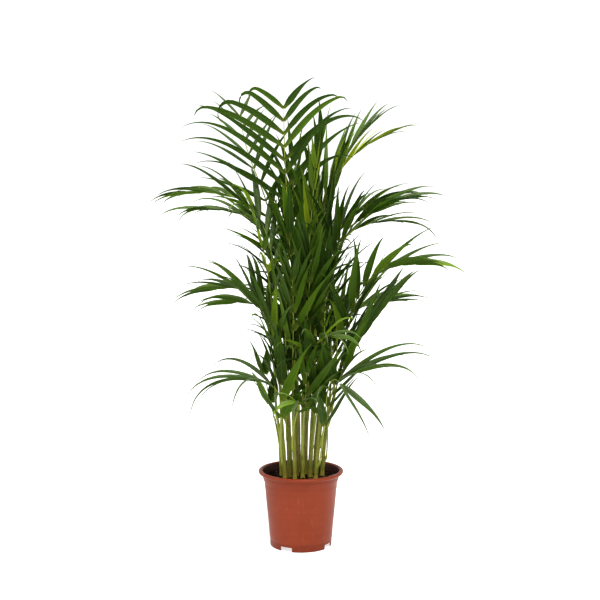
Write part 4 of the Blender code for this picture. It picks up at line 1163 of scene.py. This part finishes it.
def pot_material():
    k = Nodes("pot_plastic")
    geo = k.new("ShaderNodeTexCoord").outputs["Object"]
    xyz = k.new("ShaderNodeSeparateXYZ")
    k.link(geo, xyz.inputs[0])
    z = xyz.outputs[2]
    cloud = k.noise(geo, 14.0, 4.0, 0.6)
    base = k.mixc(k.rangefit(cloud, 0.3, 0.7, 0.0, 1.0), (0.204, 0.0365, 0.0122), (0.166, 0.0285, 0.0088))
    # flow marks round the wall, left by the mould
    flow = k.noise(k.stretch(geo, (3.0, 3.0, 240.0)), 1.0, 3.0, 0.5)
    base = k.mixc(k.rangefit(flow, 0.4, 0.75, 0.0, 0.28), base, (0.235, 0.047, 0.019))
    # darker band round the foot
    foot = k.rangefit(z, 0.0115, 0.0145, 0.6, 0.0)
    base = k.mixc(foot, base, (0.120, 0.019, 0.006))
    # scuffs and dust
    scuff = k.noise(k.stretch(geo, (300.0, 300.0, 60.0)), 1.0, 5.0, 0.7)
    mask = k.noise(geo, 22.0, 2.0, 0.5)
    dust = k.math("MULTIPLY", k.rangefit(scuff, 0.56, 0.72, 0.0, 1.0), k.rangefit(mask, 0.42, 0.66, 0.0, 0.35))
    base = k.mixc(dust, base, (0.33, 0.13, 0.09))
    stain = k.noise(k.stretch(geo, (55.0, 55.0, 9.0)), 1.0, 3.0, 0.6)
    base = k.mixc(k.rangefit(stain, 0.56, 0.8, 0.0, 0.3), base, (0.14, 0.026, 0.013))
    # inner face above the compost painted near-black and mottled: painted shade inside the rim
    facing = k.new("ShaderNodeVectorMath", operation="DOT_PRODUCT")
    k.link(k.new("ShaderNodeNewGeometry").outputs["Normal"], facing.inputs[0])
    k.link(k.stretch(geo, (1.0, 1.0, 0.0)), facing.inputs[1])
    inside = k.math("MULTIPLY", k.math("LESS_THAN", facing.outputs[1], -0.035),
                    k.math("MULTIPLY", k.rangefit(z, 0.1235, 0.1245, 0.0, 1.0), k.rangefit(z, 0.1375, 0.1395, 1.0, 0.0)))
    shade_mottle = k.rangefit(k.noise(geo, 160.0, 4.0, 0.6), 0.3, 0.7, 0.75, 0.95)
    base = k.mixc(k.math("MULTIPLY", inside, shade_mottle), base, (0.028, 0.010, 0.005))
    k.link(base, k.b.inputs["Base Color"])
    fine = k.noise(geo, 2600.0, 2.0, 0.6)
    r = k.rangefit(cloud, 0.3, 0.7, 0.36, 0.46)
    k.link(k.math("ADD", r, k.math("MULTIPLY", dust, 0.5)), k.b.inputs["Roughness"])
    n1 = k.bump(fine, 0.12, 0.0002)
    n2 = k.bump(flow, 0.06, 0.0012, n1)
    k.link(k.bump(scuff, 0.06, 0.0003, n2), k.b.inputs["Normal"])
    k.b.inputs["Subsurface Weight"].default_value = 0.1
    k.b.inputs["Subsurface Radius"].default_value = (1.0, 0.25, 0.12)
    k.b.inputs["Subsurface Scale"].default_value = 0.002
    k.b.inputs["Specular IOR Level"].default_value = 0.2
    return k.m


def soil_material():
    k = Nodes("potting_compost")
    obj = k.new("ShaderNodeTexCoord").outputs["Object"]
    a = k.noise(obj, 420.0, 5.0, 0.7)
    b = k.noise(obj, 70.0, 3.0, 0.5)
    base = k.ramp(a, [(0.3, (0.004, 0.002, 0.001)), (0.5, (0.016, 0.008, 0.004)), (0.72, (0.055, 0.03, 0.014))], "LINEAR")
    base = k.mixc(k.rangefit(b, 0.35, 0.7, 0.0, 0.5), base, (0.016, 0.008, 0.005))
    k.link(base, k.b.inputs["Base Color"])
    k.link(k.rangefit(b, 0.3, 0.7, 0.75, 0.98), k.b.inputs["Roughness"])
    k.link(k.bump(a, 0.8, 0.0012), k.b.inputs["Normal"])
    k.b.inputs["Specular IOR Level"].default_value = 0.05
    return k.m


def bark_material():
    k = Nodes("bark_slivers")
    shade = k.tint()[0]
    obj = k.new("ShaderNodeTexCoord").outputs["Object"]
    a = k.noise(obj, 700.0, 4.0, 0.6)
    base = k.mixc(shade, (0.05, 0.026, 0.014), (0.17, 0.10, 0.055))
    base = k.mixc(k.rangefit(a, 0.35, 0.65, 0.0, 0.6), base, (0.03, 0.016, 0.01))
    k.link(base, k.b.inputs["Base Color"])
    k.link(k.rangefit(a, 0.3, 0.7, 0.6, 0.85), k.b.inputs["Roughness"])
    k.link(k.bump(a, 0.6, 0.0006), k.b.inputs["Normal"])
    return k.m


def floor_material():
    k = Nodes("pale_floor")
    obj = k.new("ShaderNodeTexCoord").outputs["Object"]
    a = k.noise(obj, 3.0, 3.0, 0.5)
    k.link(k.mixc(k.rangefit(a, 0.3, 0.7, 0.0, 1.0), (0.52, 0.52, 0.52), (0.50, 0.50, 0.50)), k.b.inputs["Base Color"])
    k.b.inputs["Roughness"].default_value = 0.7
    k.b.inputs["Specular IOR Level"].default_value = 0.1
    k.b.inputs["Emission Color"].default_value = (1.0, 1.0, 1.0, 1.0)
    k.b.inputs["Emission Strength"].default_value = 0.6
    return k.m


# ------------------------------------------------------ floor, light, view
def sun(name, at, strength, soft, colour=(1, 1, 1)):
    """Soft light from a far panel in the direction of the point at."""
    la = bpy.data.lights.new(name, "SUN")
    la.energy = strength
    la.angle = radians(soft)
    la.color = colour
    ob = bpy.data.objects.new(name, la)
    ob.location = at
    ob.rotation_euler = (-Vector(at)).to_track_quat("-Z", "Y").to_euler()
    bpy.context.scene.collection.objects.link(ob)


def set_stage():
    me = bpy.data.meshes.new("floor")
    s = 30.0
    me.from_pydata([(-s, -s, 0), (s, -s, 0), (s, s, 0), (-s, s, 0)], [], [(0, 1, 2, 3)])
    me.materials.append(floor_material())
    floor = bpy.data.objects.new("floor", me)
    floor.location = (0, 0, -0.0002)
    bpy.context.scene.collection.objects.link(floor)
    floor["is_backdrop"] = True
    sc = bpy.context.scene
    world = bpy.data.worlds.new("studio")
    sc.world = world
    world.use_nodes = True
    tree = world.node_tree
    bg = tree.nodes["Background"]
    # white at eye level and below, a softer ceiling above
    way = tree.nodes.new("ShaderNodeSeparateXYZ")
    tree.links.new(tree.nodes.new("ShaderNodeTexCoord").outputs["Generated"], way.inputs[0])
    fall = tree.nodes.new("ShaderNodeMapRange")
    fall.interpolation_type = "SMOOTHSTEP"
    for key, val in ((1, 0.3), (2, 0.75), (3, 1.0), (4, 0.3)):
        fall.inputs[key].default_value = val
    tree.links.new(way.outputs[2], fall.inputs[0])
    tree.links.new(fall.outputs[0], bg.inputs[1])
    bg.inputs[0].default_value = (1.0, 1.0, 1.0, 1.0)
    sun("key", (0.9, -1.5, 2.9), 3.6, 40, (1.0, 0.99, 0.97))
    sun("fill", (-2.2, -1.4, 1.6), 1.0, 60, (0.98, 0.99, 1.0))
    cam = bpy.data.cameras.new("camera")
    cam.sensor_width = 36.0
    cam.lens = 73.28
    ob = bpy.data.objects.new("camera", cam)
    ob.location = (-0.00166, -2.2, 0.69)
    ob.rotation_euler = (radians(90 - 6.1425), 0.0, 0.0)
    sc.collection.objects.link(ob)
    sc.camera = ob
    sc.view_settings.view_transform = "Standard"
    sc.view_settings.look = "Medium High Contrast"
    sc.view_settings.exposure = 0.0


def main():
    leaflet, stalk, cane = leaflet_material(), stalk_material(), cane_material()
    for rac, leaflets in grow_palm():
        build_leaf(rac, leaflets, [leaflet, stalk])
    for key in STEMS:
        build_cane(key, cane)
    build_pot(pot_material())
    build_soil(soil_material(), bark_material())
    set_stage()
    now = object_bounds()
    ({"cad": [list(map(float, c)) for c in CAD_BOX],
               "visual": [list(map(float, c)) for c in now]})


main()
